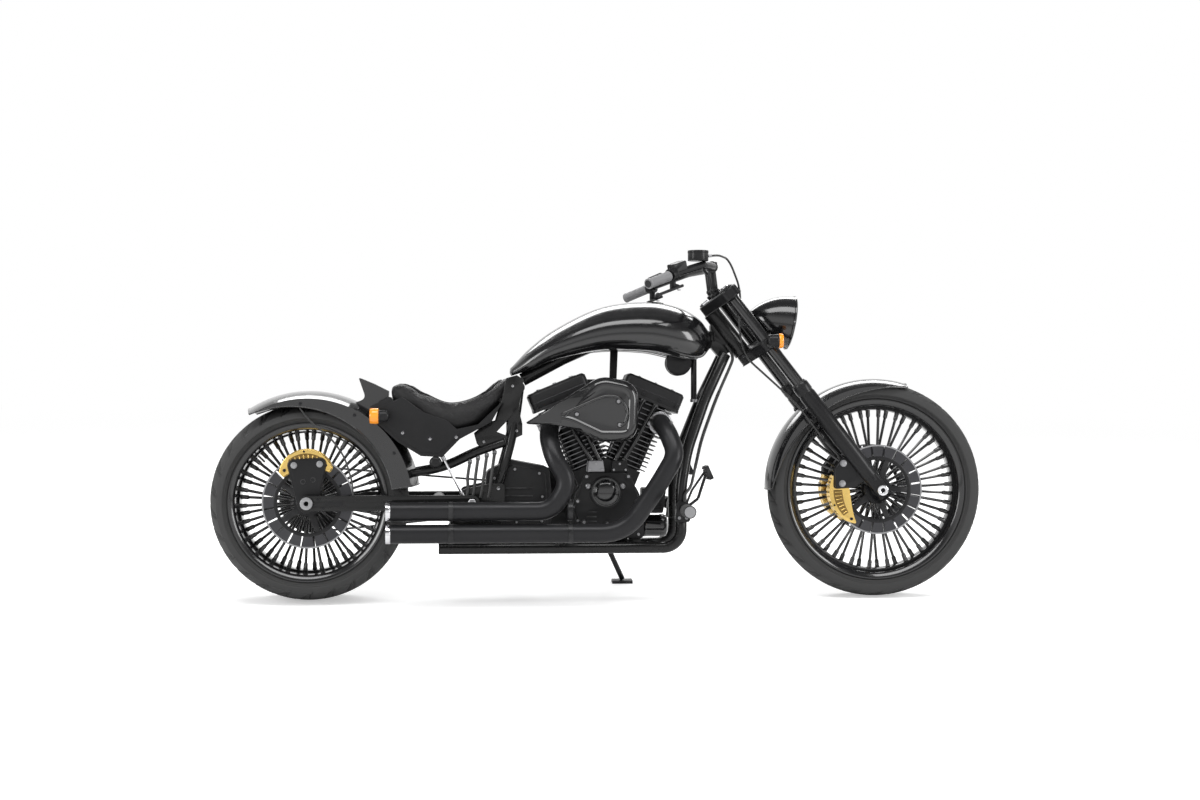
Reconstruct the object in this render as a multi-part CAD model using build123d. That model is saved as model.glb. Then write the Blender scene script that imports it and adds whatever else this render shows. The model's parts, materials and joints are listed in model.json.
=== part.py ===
from build123d import *
from math import cos, radians, sin, tan
import os

# A long low V-twin chopper, leaning on its side stand.
# Everything is drawn upright in millimetres: X = 0 at the rear axle and +X forward,
# Y = 0 on the middle plane with the rider's left at +Y, Z = 0 on the ground.
# The last step leans every piece and puts the origin under the middle of the bounding box.

LEFT, RIGHT = 1, -1
SIDES = (LEFT, RIGHT)

# Overall
LEAN = 6.0              # degrees to the left, on the side stand
WHEELBASE = 1918
FIT = 0.3               # between pieces that seat on each other
RUN = 5.5               # between pieces that move past each other
SHAFT_FIT = 0.4         # round a turning shaft

# Wheels: all radii from the axle
REAR_R, REAR_HALF = 330, 121
REAR_FLANGE_R, REAR_RIM_HALF, REAR_NIPPLE_R = 262, 112, 230
FRONT_R, FRONT_HALF = 366, 65
FRONT_FLANGE_R, FRONT_RIM_HALF, FRONT_NIPPLE_R = 306, 50, 270
TYRE_WALL = 9
RIM_WALL = 6
SEAT_DROP = 13          # rim flange above the bead seat
SPOKES_A_SIDE = 26
SPOKE_R = 4
REAR_HUB_HALF, FRONT_HUB_HALF = 82, 58
REAR_HUB_FLANGE, FRONT_HUB_FLANGE = 58, 38
HUB_BARREL_R, HUB_FLANGE_R = 30, 50
AXLE_R, AXLE_BORE_R = 12.5, 8
ROTOR_R, ROTOR_BAND_R, ROTOR_THICK = 152, 109, 5
ROTOR_SLOTS, ROTOR_SLOT = 20, 5
ROTOR_HUB_R = 46
REAR_ROTOR_Y, FRONT_ROTOR_Y = 98, 72
CALIPER_HALF = 26

# Fork, set along the legs from the front axle
RAKE = 38.0
LEG_Y, SLIDER_R, STANCHION_R = 115, 29, 20.5
SLIDER_LOW, SLIDER_TOP = -30, 455
STANCHION_LOW, STANCHION_TOP = 300, 868
LOW_CLAMP, HIGH_CLAMP = 625, 838
CLAMP_THICK, CLAMP_WALL = 36, 12
STEM_BACK, STEM_R = 70, 13
HEAD_TUBE_R = 30
STEER_STOP = 30
# Handlebar: x, y, z of the right half from the middle outwards, and the bends of the whole bar
BAR_R, GRIP_R = 12.7, 17
BAR_RIGHT = [(1352, -90, 1120), (1302, -205, 1116), (1202, -298, 1081), (1099, -390, 1039)]
BAR_BENDS = [60, 90, 90, 90, 90, 60]
HOSE_R, REAR_HOSE_R, LOOM_R = 3.5, 3, 5

# Frame
TUBE_R, BACKBONE_R = 19, 22
RAIL_Z, RAIL_Y = 176, 110
PIVOT_X, PIVOT_Z, PIVOT_R = 540, 330, 14
ARM_IN, ARM_THICK, ARM_TALL = 156, 20, 50

SPINE = [(1360, 0, 885), (1010, 0, 882), (850, 0, 812), (712, 0, 738)]
SPINE_BENDS = [220, 300]

# Engine
CRANK_X, CRANK_Z = 992, 312
V_HALF = 22.5
DECK, BARREL_TOP, HEAD_TOP, ROCKER_TOP = 150, 272, 380, 446
BARREL_FINS, HEAD_FINS = 8, 6
FIN_THICK = 4
FIN_LONG, FIN_WIDE = 158, 150
HEAD_LONG = 176
ROCKER_LONG, ROCKER_WIDE = 207, 160
CASE_HALF = 78
INTAKE_Y = 186
PIPE_R, PIPE_WALL, PIPE_Y = 31, 2.5, 228
CLEANER_DEEP = 58

CASE_LOW, GEARBOX_LOW, PLATE_TOP = 205, 235, 392
CASE_FRONT, TIMING_TOP = 1118, 428

# Final drive, on the left
BELT_IN, BELT_WIDE, BELT_THICK = 127, 24, 6
REAR_PULLEY_R, FRONT_PULLEY_R = 108, 46
GEAR_X, GEAR_Z = 690, 335
PRIMARY_IN, PRIMARY_OUT = 157, 214

# Side stand: where its eye sits, and the way its leg points down and folded back
STAND_PIVOT = Vector(1010, 152, 170)
STAND_DOWN = Vector(0.36, 0.59, -0.72).normalized()
STAND_ANKLE = 14        # leg's end above the ground
STAND_SLOPE = tan(radians(LEAN))
STAND_LEG = (STAND_PIVOT.Z - STAND_PIVOT.Y * STAND_SLOPE - STAND_ANKLE) / (
    STAND_DOWN.Y * STAND_SLOPE - STAND_DOWN.Z)
STAND_BACK = Vector(-0.975, 0.20, 0.02).normalized()
STAND_AXIS = STAND_DOWN.cross(STAND_BACK).normalized()
STAND_FOLD = round(STAND_DOWN.get_angle(STAND_BACK), 1)
STAND_EYE, STAND_PIN_R = 14, 6

# Tank and rear fender
TUNNEL_HALF = 28
REAR_FENDER_GAP, REAR_FENDER_HALF, REAR_FENDER_DROP = 36, 136, 26
FENDER_SKIN = 4


def side_plane(y):
    """Plane seen from the right: local x is forward, local y is up, at height y across."""
    return Plane(origin=(0, y, 0), x_dir=(1, 0, 0), z_dir=(0, -1, 0))


def slab(points, y_one, y_two, radii=0.0):
    """Plate with a side-view outline of (x, z) points, between two places across."""
    outline = Polyline(*points, close=True) if not radii else FilletPolyline(
        *points, radius=radii, close=True)
    return across(make_face(outline), y_one, y_two)


def across(face, y_one, y_two):
    """Carry a side-view face across the bike from one place to another."""
    y_low, y_high = sorted((y_one, y_two))
    return extrude(side_plane(y_high) * face, amount=y_high - y_low)


def hull(rounds):
    """Side-view outline stretched round circles, each (x, z, radius)."""
    return make_hull([edge for x, z, radius in rounds for edge in (Pos(x, z) * Circle(radius)).edges()])


def disc(x, z, radius, y_one, y_two, bore=0.0):
    """Cylinder across the bike."""
    face = Circle(radius) - Circle(bore) if bore else Circle(radius)
    return across(Pos(x, z) * face, y_one, y_two)


def turned(x, z, profile):
    """Body of revolution about a line across the bike: a list of (radius, y) points or a face."""
    face = make_face(Polyline(*profile, close=True)) if isinstance(profile, list) else profile
    plane = Plane(origin=(x, 0, z), x_dir=(1, 0, 0), z_dir=(0, 0, 1))
    return revolve(plane * face, Axis((x, 0, z), (0, 1, 0)))


def rod(start, end, radius, bore=0.0):
    """Round bar between two points."""
    low, high = Vector(*start), Vector(*end)
    face = Circle(radius) - Circle(bore) if bore else Circle(radius)
    return extrude(Plane(origin=low, z_dir=high - low) * face, amount=(high - low).length)


def eased(points, share=0.45):
    """Bend radii, each as large as its two runs allow."""
    spots = [Vector(*p) for p in points]
    radii = []
    for before, here, after in zip(spots, spots[1:], spots[2:]):
        turn = (here - before).get_angle(after - here)
        run = min((here - before).length, (after - here).length)
        radii.append(share * run / tan(radians(turn) / 2))
    return radii


def tube(points, radius, radii=None):
    """Round tube along straight runs joined by arcs."""
    path = FilletPolyline(*points, radius=radii or eased(points))
    return sweep(Plane(origin=path @ 0, z_dir=path % 0) * Circle(radius), path=path)


def polar(x, z, radius, angle):
    """Side-view point at an angle above the forward direction."""
    return x + radius * cos(radians(angle)), z + radius * sin(radians(angle))


def crescent(x, z, y_low, y_high, outer, inner):
    """Plate between two three-point arcs: each a list of (radius, angle) about (x, z)."""
    far = ThreePointArc(*[polar(x, z, r, a) for r, a in outer])
    near = ThreePointArc(*[polar(x, z, r, a) for r, a in inner])
    edges = [far, Line(far @ 1, near @ 0), near, Line(near @ 1, far @ 0)]
    return extrude(side_plane(y_high) * make_face(edges), amount=y_high - y_low)


def stations(rows, section):
    """Loft along X through one section a row; the row's first column is X."""
    faces = [Plane(origin=(row[0], 0, 0), x_dir=(0, 1, 0), z_dir=(1, 0, 0)) * section(*row[1:])
             for row in rows]
    return loft(faces)


# Fork frame: local x ahead of the legs, local y to the left, local z up the legs
FORK = Plane(origin=(WHEELBASE, 0, FRONT_R),
             x_dir=(cos(radians(RAKE)), 0, sin(radians(RAKE))),
             z_dir=(-sin(radians(RAKE)), 0, cos(radians(RAKE))))


def fork_point(ahead, y, up):
    """A point given in the fork frame."""
    return FORK.from_local_coords(Vector(ahead, y, up))


def on_fork(shape):
    """Place a piece drawn in the fork frame."""
    return FORK * shape


def column(ahead, y, low, high, radius, bore=0.0):
    """Round bar along the legs, in the fork frame."""
    face = Circle(radius) - Circle(bore) if bore else Circle(radius)
    return Pos(ahead, y, low) * extrude(face, amount=high - low)


def tyre(x, z, radius, half, flange_r, rim_half):
    """Hollow tyre: crown and sidewall arcs, open to the rim."""
    bead_y = rim_half - 7 - FIT
    seat = flange_r - SEAT_DROP + FIT
    shoulder_r, shoulder_y = radius - half * 0.26, half - 5
    belly_r = flange_r + (shoulder_r - flange_r) * 0.5

    def skin(inset):
        bead = bead_y - inset
        crown = ThreePointArc((shoulder_r - inset, -shoulder_y + inset), (radius - inset, 0),
                              (shoulder_r - inset, shoulder_y - inset))
        left = ThreePointArc(crown @ 1, (belly_r, half - inset), (flange_r + 1, bead))
        right = ThreePointArc((flange_r + 1, -bead), (belly_r, -half + inset), crown @ 0)
        low = seat - inset
        foot = Polyline(left @ 1, (low, bead), (low, -bead), right @ 0)
        return make_face([crown, left, foot, right])

    return turned(x, z, skin(0)) - turned(x, z, skin(TYRE_WALL))


def rim(x, z, flange_r, half, nipple_r):
    """Rolled rim with a well, bead seats, flanges and a deep lip."""
    seat = flange_r - SEAT_DROP
    well = half * 0.4
    # radius, y of one half, from the middle of the well round the flange and back
    outside = [(nipple_r + RIM_WALL, well), (seat, half - 24), (seat, half - 7),
               (flange_r, half - 5), (flange_r, half)]
    inside = [(flange_r - 5, half), (seat - RIM_WALL, half - 9), (seat - RIM_WALL, half - 24),
              (nipple_r, well)]
    one = outside + inside
    other = [(r, -y) for r, y in reversed(one)]
    return turned(x, z, one + other)


def spoked_hub(x, z, nipple_r, hub_half, flange_y, rim_half):
    """Hub with two flanges and a fan of straight fat spokes from each."""
    collar = 7
    hub = turned(x, z, [
        (AXLE_R + SHAFT_FIT, -hub_half), (HUB_BARREL_R - 4, -hub_half),
        (HUB_BARREL_R, -flange_y - collar), (HUB_FLANGE_R, -flange_y - collar),
        (HUB_FLANGE_R, -flange_y + collar), (HUB_BARREL_R, -flange_y + collar),
        (HUB_BARREL_R, flange_y - collar), (HUB_FLANGE_R, flange_y - collar),
        (HUB_FLANGE_R, flange_y + collar), (HUB_BARREL_R, flange_y + collar),
        (HUB_BARREL_R - 4, hub_half), (AXLE_R + SHAFT_FIT, hub_half)])
    root = HUB_FLANGE_R - 5
    seat_y = rim_half * 0.22
    tip = nipple_r - FIT - SPOKE_R * (flange_y - seat_y) / (nipple_r - root)
    spokes = []
    for side in SIDES:
        for k in range(SPOKES_A_SIDE):
            turn = 360 * (k + (0.25 if side == LEFT else -0.25)) / SPOKES_A_SIDE
            low_x, low_z = polar(x, z, root, turn)
            high_x, high_z = polar(x, z, tip, turn)
            low = Vector(low_x, side * flange_y, low_z)
            high = Vector(high_x, side * seat_y, high_z)
            spoke = Plane(origin=low, z_dir=high - low) * RegularPolygon(SPOKE_R, 5)
            spokes.append(extrude(spoke, amount=(high - low).length))
    return hub.fuse(*spokes)


def rotor(x, z, y):
    """Brake disc: slotted band on a thin spider that bolts to the hub."""
    low, high = y - ROTOR_THICK / 2, y + ROTOR_THICK / 2
    band = disc(x, z, ROTOR_R, low, high, ROTOR_BAND_R - 8)
    mid = (ROTOR_R + ROTOR_BAND_R) / 2
    slot_long = ROTOR_R - ROTOR_BAND_R - 6
    for k in range(ROTOR_SLOTS):
        turn = 360 * (k + 0.5) / ROTOR_SLOTS
        spot_x, spot_z = polar(x, z, mid, turn)
        cut = Pos(spot_x, y, spot_z) * Rot(0, -turn, 0) * Box(slot_long, ROTOR_THICK * 2, ROTOR_SLOT)
        band -= cut
    spider = disc(x, z, ROTOR_HUB_R, low, high, HUB_BARREL_R + FIT)
    for k in range(5):
        turn = 360 * k / 5
        spot_x, spot_z = polar(x, z, (ROTOR_HUB_R + ROTOR_BAND_R - 8) / 2, turn)
        arm = Pos(spot_x, y, spot_z) * Rot(0, -turn, 0) * Box(
            ROTOR_BAND_R - ROTOR_HUB_R + 4, ROTOR_THICK, 16)
        spider += arm
    return band + spider


def wheels():
    """Both wheels, each on its own axle."""
    pieces = {}
    # name, x, z, tyre radius, half width, flange, rim half, nipple, hub half, hub flange
    table = [
        ("rear", 0, REAR_R, REAR_R, REAR_HALF, REAR_FLANGE_R, REAR_RIM_HALF, REAR_NIPPLE_R,
         REAR_HUB_HALF, REAR_HUB_FLANGE),
        ("front", WHEELBASE, FRONT_R, FRONT_R, FRONT_HALF, FRONT_FLANGE_R, FRONT_RIM_HALF,
         FRONT_NIPPLE_R, FRONT_HUB_HALF, FRONT_HUB_FLANGE),
    ]
    for name, x, z, radius, half, flange, rim_half, nipple, hub_half, hub_flange in table:
        pieces[f"{name}_tyre"] = tyre(x, z, radius, half, flange, rim_half)
        pieces[f"{name}_wheel"] = [rim(x, z, flange, rim_half, nipple),
                                   spoked_hub(x, z, nipple, hub_half, hub_flange, rim_half)]
    pieces["rear_rotor"] = rotor(0, REAR_R, -REAR_ROTOR_Y) + disc(
        0, REAR_R, ROTOR_HUB_R, -REAR_ROTOR_Y, -REAR_HUB_HALF - FIT, AXLE_R + SHAFT_FIT)
    pieces["front_rotors"] = [rotor(WHEELBASE, FRONT_R, side * FRONT_ROTOR_Y) + disc(
        WHEELBASE, FRONT_R, ROTOR_HUB_R, side * FRONT_ROTOR_Y, side * (FRONT_HUB_HALF + FIT),
        AXLE_R + SHAFT_FIT) for side in SIDES]
    belt_out = BELT_IN + BELT_WIDE
    pieces["rear_pulley"] = disc(0, REAR_R, REAR_PULLEY_R, BELT_IN, belt_out, 60) + disc(
        0, REAR_R, 62, REAR_HUB_HALF + FIT, belt_out - 8, AXLE_R + SHAFT_FIT)
    return pieces


def caliper(x, z, y, outer, inner):
    """Crescent caliper astride a rotor, with its pad window."""
    body = crescent(x, z, y - CALIPER_HALF, y + CALIPER_HALF, outer, inner)
    slot = disc(x, z, ROTOR_R + RUN, y - ROTOR_THICK / 2 - RUN, y + ROTOR_THICK / 2 + RUN)
    return body - slot


def fork():
    """Everything that turns with the handlebar, apart from the front wheel."""
    pieces = {}
    stem_low, stem_high = LOW_CLAMP - CLAMP_THICK / 2, HIGH_CLAMP + CLAMP_THICK / 2 + 8

    def clamp(middle):
        rounds = [Pos(0, side * LEG_Y) * Circle(STANCHION_R + CLAMP_WALL) for side in SIDES]
        rounds.append(Pos(-STEM_BACK, 0) * Circle(STEM_R + CLAMP_WALL))
        plate = make_hull([edge for one in rounds for edge in one.edges()])
        for side in SIDES:
            plate -= Pos(0, side * LEG_Y) * Circle(STANCHION_R + FIT)
        return Pos(0, 0, middle - CLAMP_THICK / 2) * extrude(plate, amount=CLAMP_THICK)

    stem = column(-STEM_BACK, 0, stem_low, stem_high, STEM_R)
    stem_hole = column(-STEM_BACK, 0, stem_low, stem_high + 20, STEM_R + FIT)
    pieces["fork_clamps"] = [on_fork(clamp(LOW_CLAMP) + stem), on_fork(clamp(HIGH_CLAMP) - stem_hole)]
    pieces["fork_stanchions"] = [on_fork(column(
        0, side * LEG_Y, STANCHION_LOW, STANCHION_TOP, STANCHION_R)) for side in SIDES]

    sliders = []
    for side in SIDES:
        leg = column(0, side * LEG_Y, SLIDER_LOW + 20, SLIDER_TOP, SLIDER_R)
        foot_tall = 96
        foot = Pos(0, side * LEG_Y, SLIDER_LOW + foot_tall / 2) * Box(46, 52, foot_tall)
        bore = column(0, side * LEG_Y, STANCHION_LOW - 10, SLIDER_TOP + 1, STANCHION_R + FIT)
        axle_hole = Pos(0, side * LEG_Y, 0) * Rot(90, 0, 0) * Cylinder(AXLE_R + FIT, 80)
        # Caliper lug behind the leg, outside the caliper
        lug_in = side * (FRONT_ROTOR_Y + CALIPER_HALF + FIT)
        lug = slab([(1762, 372), (1764, 436), (1792, 478), (1850, 448), (1872, 404), (1830, 376)],
                   lug_in, side * (LEG_Y + 4), 8)
        sliders.append(on_fork(leg + foot) + lug - on_fork(bore) - on_fork(axle_hole))
    pieces["fork_sliders"] = sliders

    reach = LEG_Y + SLIDER_R + 8
    cap = [disc(WHEELBASE, FRONT_R, AXLE_R + 6, side * reach, side * (reach - 7), AXLE_BORE_R)
           for side in SIDES]
    shaft = disc(WHEELBASE, FRONT_R, AXLE_R, -reach + 1, reach - 1, AXLE_BORE_R)
    pieces["front_axle"] = shaft.fuse(*cap)

    # Calipers behind the legs: (radius, angle) of the outer and the inner arc
    outer = [(166, 163), (171, 195), (141, 234)]
    inner = [(136, 234), (104, 200), (112, 163)]
    calipers = [caliper(WHEELBASE, FRONT_R, side * FRONT_ROTOR_Y, outer, inner) for side in SIDES]
    pieces["front_calipers"] = calipers
    return pieces


def front_fender():
    """Narrow fender that hugs the front tyre, carried on bosses between the sliders."""
    gap, skin, half = 8, 3, 78
    inner_r = FRONT_R + gap
    low_r = FRONT_FLANGE_R + 4
    crown = ThreePointArc((inner_r - 24, -half), (inner_r + skin, 0), (inner_r - 24, half))
    under = ThreePointArc((inner_r - 24, half - skin), (inner_r, 0), (inner_r - 24, -half + skin))
    face = make_face([
        crown, Polyline(crown @ 1, (low_r, half), (low_r, half - skin), under @ 0), under,
        Polyline(under @ 1, (low_r, -half + skin), (low_r, -half), crown @ 0)])
    whole = turned(WHEELBASE, FRONT_R, face)
    reach = crescent(WHEELBASE, FRONT_R, -half - 1, half + 1,
                     [(inner_r + 8, 73), (inner_r + 8, 126), (inner_r + 8, 180)],
                     [(inner_r - 12, 180), (FRONT_R - 40, 128), (inner_r - 12, 73)])
    shell = whole & reach
    for side in SIDES:
        spot = fork_point(0, 0, FRONT_R - 14)
        shell += disc(spot.X, spot.Z, 10, side * (half - skin / 2), side * (LEG_Y - SLIDER_R - FIT))
    return {"front_fender": shell}


def headlight():
    """Bullet shell cut flat along the fork, its rim and its lens, on a bracket."""
    radius, depth, dip = 90, 150, 10
    centre_x, centre_z = 1625, 935
    axis = Plane(origin=(centre_x, 0, centre_z), x_dir=(0, 1, 0),
                 z_dir=(cos(radians(dip)), 0, -sin(radians(dip))))
    nose = ThreePointArc((0, -depth), (radius * 0.76, -depth * 0.52), (radius, 0))
    face = make_face([nose, Polyline((radius, 0), (0, 0), (0, -depth))])
    turned_face = Plane(origin=axis.origin, x_dir=axis.x_dir, z_dir=axis.x_dir.cross(axis.z_dir)) * face
    shell = revolve(turned_face, Axis(axis.origin, axis.z_dir))
    back = 38
    shell -= on_fork(Pos(back - 200, 0, 700) * Box(400, 400, 600))
    cup = Plane(origin=axis.origin, x_dir=axis.x_dir, z_dir=axis.z_dir)
    shell -= cup * Pos(0, 0, -12) * Cylinder(radius - 8, 26)
    ring = cup * (Pos(0, 0, 5 + FIT) * (Cylinder(radius + 3, 10) - Cylinder(radius - 6, 10)))
    glass = cup * Pos(0, 0, 2) * Cylinder(radius - 8 - FIT, 7)
    clamp_top = LOW_CLAMP + CLAMP_THICK / 2 + FIT
    post = on_fork(Pos((14 + back) / 2 - FIT / 2, 0, clamp_top + 45) * Box(back - 14 - FIT, 44, 90))
    return {"headlight_shell": [shell, ring, post], "headlight_lens": glass}


def handlebar():
    """Risers, swept-back bar, grips and hand controls."""
    points = [(x, -y, z) for x, y, z in reversed(BAR_RIGHT)] + BAR_RIGHT
    bar = tube(points, BAR_R, BAR_BENDS)
    room = tube(points, BAR_R + FIT, BAR_BENDS)
    clamp_top = HIGH_CLAMP + CLAMP_THICK / 2 + FIT
    risers = []
    for side in SIDES:
        foot = fork_point(-28, side * 42, clamp_top + 9)
        top = Vector(1352, side * 42, 1120)
        risers.append(rod(foot, top, 13) + on_fork(column(-28, side * 42, clamp_top, clamp_top + 12, 18)))
    pieces = {"handlebar": bar.fuse(*risers)}
    grips, controls = [], []
    for side in SIDES:
        inner, outer = [Vector(x, -side * y, z) for x, y, z in BAR_RIGHT[2:]]
        along = (outer - inner).normalized()
        grips.append(rod(inner + along * 41, outer - along * 2, GRIP_R, BAR_R + FIT))
        # Switch housing round the bar, a fluid box on it and the lever's perch and blade below
        housing = rod(inner + along * 12, inner + along * 34, 22)
        drop = rod(inner + along * 19, inner + along * 19 - Vector(0, 0, 46), 10)
        box_way = (inner - outer).normalized()
        box = Plane(origin=inner + box_way * 4 + Vector(0, 0, 19), x_dir=along,
                    z_dir=along.cross(Vector(0, 0, 1)).normalized()) * Box(58, 26, 34)
        root = inner + along * 20 + Vector(20, 0, -40)
        tip = outer + along * 4 + Vector(34, 0, -34)
        blade = rod(root - along * 20, tip, 5)
        knob = Pos(*tip) * Sphere(8)
        perch = rod(inner + along * 19 + Vector(0, 0, -34), root, 8)
        controls.append(housing.fuse(drop, box, blade, knob, perch) - room)
    # Round fluid reservoir on the right, on its post from the bar
    pot = Vector(1284, -212, 1144.3)
    reservoir = rod(pot - Vector(0, 0, 16), pot + Vector(0, 0, 18), 34)
    controls.append(reservoir - room)
    pieces["grips"] = grips
    pieces["hand_controls"] = controls
    return pieces


def frame():
    """Steel frame: neck, backbone, downtubes, rails, seat posts and pivot plates."""
    pieces = {}
    low = LOW_CLAMP + CLAMP_THICK / 2 + 1.5
    high = HIGH_CLAMP - CLAMP_THICK / 2 - 1.5
    head = on_fork(column(-STEM_BACK, 0, low, high, HEAD_TUBE_R))
    bore = on_fork(column(-STEM_BACK, 0, low - 1, high + 1, STEM_R + 0.5))
    gusset = slab([(1388, 940), (1436, 880), (1425, 838), (1385, 812), (1352, 850), (1352, 925)], -16, 16)
    bushes = [disc(x, z, 10, -TUNNEL_HALF + FIT, TUNNEL_HALF - FIT) for x, z in ((1240, 884), (900, 834))]
    pieces["frame_spine"] = (head + gusset + tube(SPINE, BACKBONE_R, SPINE_BENDS)).fuse(*bushes) - bore

    downs, rails, posts = [], [], []
    for side in SIDES:
        wide = side * RAIL_Y
        down = [(1400, side * (16 + FIT + TUBE_R), 826), (1327, side * 56, 672),
                (1262, side * 92, 500), (1240, wide, 380), (1240, wide, 262)]
        downs.append(tube(down, TUBE_R, [500, 500, 300]))
        rail = [(1240, wide, 262 - FIT), (1240, wide, RAIL_Z), (1150, wide, RAIL_Z), (430, wide, RAIL_Z)]
        rails.append(tube(rail[:2] + rail[3:], TUBE_R, [60]))
        post = [(700, side * 50, 710), (688, side * 78, 620), (668, side * 94, 520), (630, side * 96, 388)]
        posts.append(tube(post, 16))
    pieces["frame_downtubes"] = downs
    yoke = disc(700, 712, 18, -64, 64) - tube(SPINE, BACKBONE_R + FIT, SPINE_BENDS)

    rears = []
    for side in SIDES:
        back = [(648, side * 94, 528), (560, side * 94, 498), (450, side * 94, 444), (330, side * 94, 424)]
        rears.append(tube(back, 14) - fender_envelope())
    under = slab([(500, 300), (720, 300), (720, PLATE_TOP), (500, PLATE_TOP)], -200, 200)
    pieces["frame_rear"] = yoke.fuse(*posts, *rears) - under

    plates = []
    for side in SIDES:
        low = RAIL_Z + TUBE_R + FIT
        plate = slab([(450, low), (620, low), (650, 300), (650, PLATE_TOP - FIT), (600, PLATE_TOP - FIT),
                      (PIVOT_X - 30, PIVOT_Z + 42), (PIVOT_X - 60, PIVOT_Z - 30)],
                     side * (RAIL_Y - 14), side * (RAIL_Y + 14), 14)
        plates.append(plate - disc(PIVOT_X, PIVOT_Z, PIVOT_R + FIT, -200, 200))
    pieces["frame_pivot_plates"] = plates

    # Cross members under the gearbox and the crankcase: x, height of the seat
    bars = []
    for x, seat in ((690, GEARBOX_LOW), (900, CASE_LOW), (1090, CASE_LOW)):
        pad = Pos(x, 0, (RAIL_Z + seat - FIT) / 2) * Box(40, 100, seat - FIT - RAIL_Z)
        bars.append(rod((x, -RAIL_Y, RAIL_Z), (x, RAIL_Y, RAIL_Z), 15) + pad)
    pieces["frame_rails"] = rails[0].fuse(rails[1], *bars, stand_lug())
    return pieces


def swingarm():
    """Two flat arms, the cross tube, the pivot shaft and the rear axle."""
    pieces = {}
    arm_out = ARM_IN + ARM_THICK
    outline = hull([(0, REAR_R, ARM_TALL / 2), (PIVOT_X, PIVOT_Z, ARM_TALL / 2)])
    arms = []
    for side in SIDES:
        arm = across(outline, side * ARM_IN, side * arm_out)
        arm -= disc(PIVOT_X, PIVOT_Z, PIVOT_R + FIT, -300, 300)
        arm -= disc(0, REAR_R, AXLE_R + FIT, -300, 300)
        arms.append(arm)
    # Behind the pivot plates and ahead of the tyre
    bridge = rod((430, -ARM_IN + FIT, PIVOT_Z), (430, BELT_IN - RUN, PIVOT_Z), 24)
    spacers = [disc(PIVOT_X, PIVOT_Z, PIVOT_R + 9, side * (RAIL_Y + 14 + FIT), side * (ARM_IN - FIT),
                    PIVOT_R + FIT) for side in SIDES]
    shaft = disc(PIVOT_X, PIVOT_Z, PIVOT_R, -arm_out - 8, arm_out + 8)
    pieces["swingarm"] = arms + [bridge, shaft] + spacers
    reach = arm_out + 12
    axle = disc(0, REAR_R, AXLE_R, -reach, reach, AXLE_BORE_R)
    nuts = [disc(0, REAR_R, AXLE_R + 8, side * (arm_out + FIT), side * reach, AXLE_BORE_R)
            for side in SIDES]
    hanger_y = -REAR_ROTOR_Y - CALIPER_HALF - FIT
    hanger_outline = hull([(0, REAR_R, 34), (-44, REAR_R + 124, 20), (40, REAR_R + 128, 20)])
    hanger = across(hanger_outline, hanger_y, hanger_y - 12)
    hanger += disc(0, REAR_R, AXLE_R + 9, -ARM_IN + FIT, -REAR_ROTOR_Y - ROTOR_THICK / 2 - 1)
    hanger -= disc(0, REAR_R, AXLE_R + FIT, -200, 0)
    sleeves = [
        disc(0, REAR_R, AXLE_R + 4, BELT_IN + BELT_WIDE - 7, ARM_IN - FIT, AXLE_R + FIT)]
    pieces["rear_axle"] = [axle.fuse(*nuts)] + sleeves
    outer = [(137, 133), (176, 92), (140, 55)]
    inner = [(124, 55), (112, 92), (118, 133)]
    body = caliper(0, REAR_R, -REAR_ROTOR_Y, outer, inner)
    pieces["rear_caliper"] = [body, hanger]
    return pieces


def cylinder_plane(lean):
    """Frame of one cylinder: local z up its bore from the crank, local x to the front."""
    side = 1 if lean > 0 else -1
    angle = radians(V_HALF * side)
    return Plane(origin=(CRANK_X, 0, CRANK_Z), x_dir=(cos(angle), 0, -sin(angle)),
                 z_dir=(sin(angle), 0, cos(angle)))


def finned(low, high, count, long, wide, core_long, core_wide):
    """Cored block with evenly spaced cooling fins, up its own z axis."""
    tall = high - low
    block = Pos(0, 0, low) * extrude(RectangleRounded(core_long, core_wide, 40), amount=tall)
    pitch = tall / count
    fins = [Pos(0, 0, low + pitch * (k + 0.5) - FIN_THICK / 2) * extrude(
        RectangleRounded(long, wide, 30), amount=FIN_THICK) for k in range(count)]
    return block.fuse(*fins)


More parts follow.
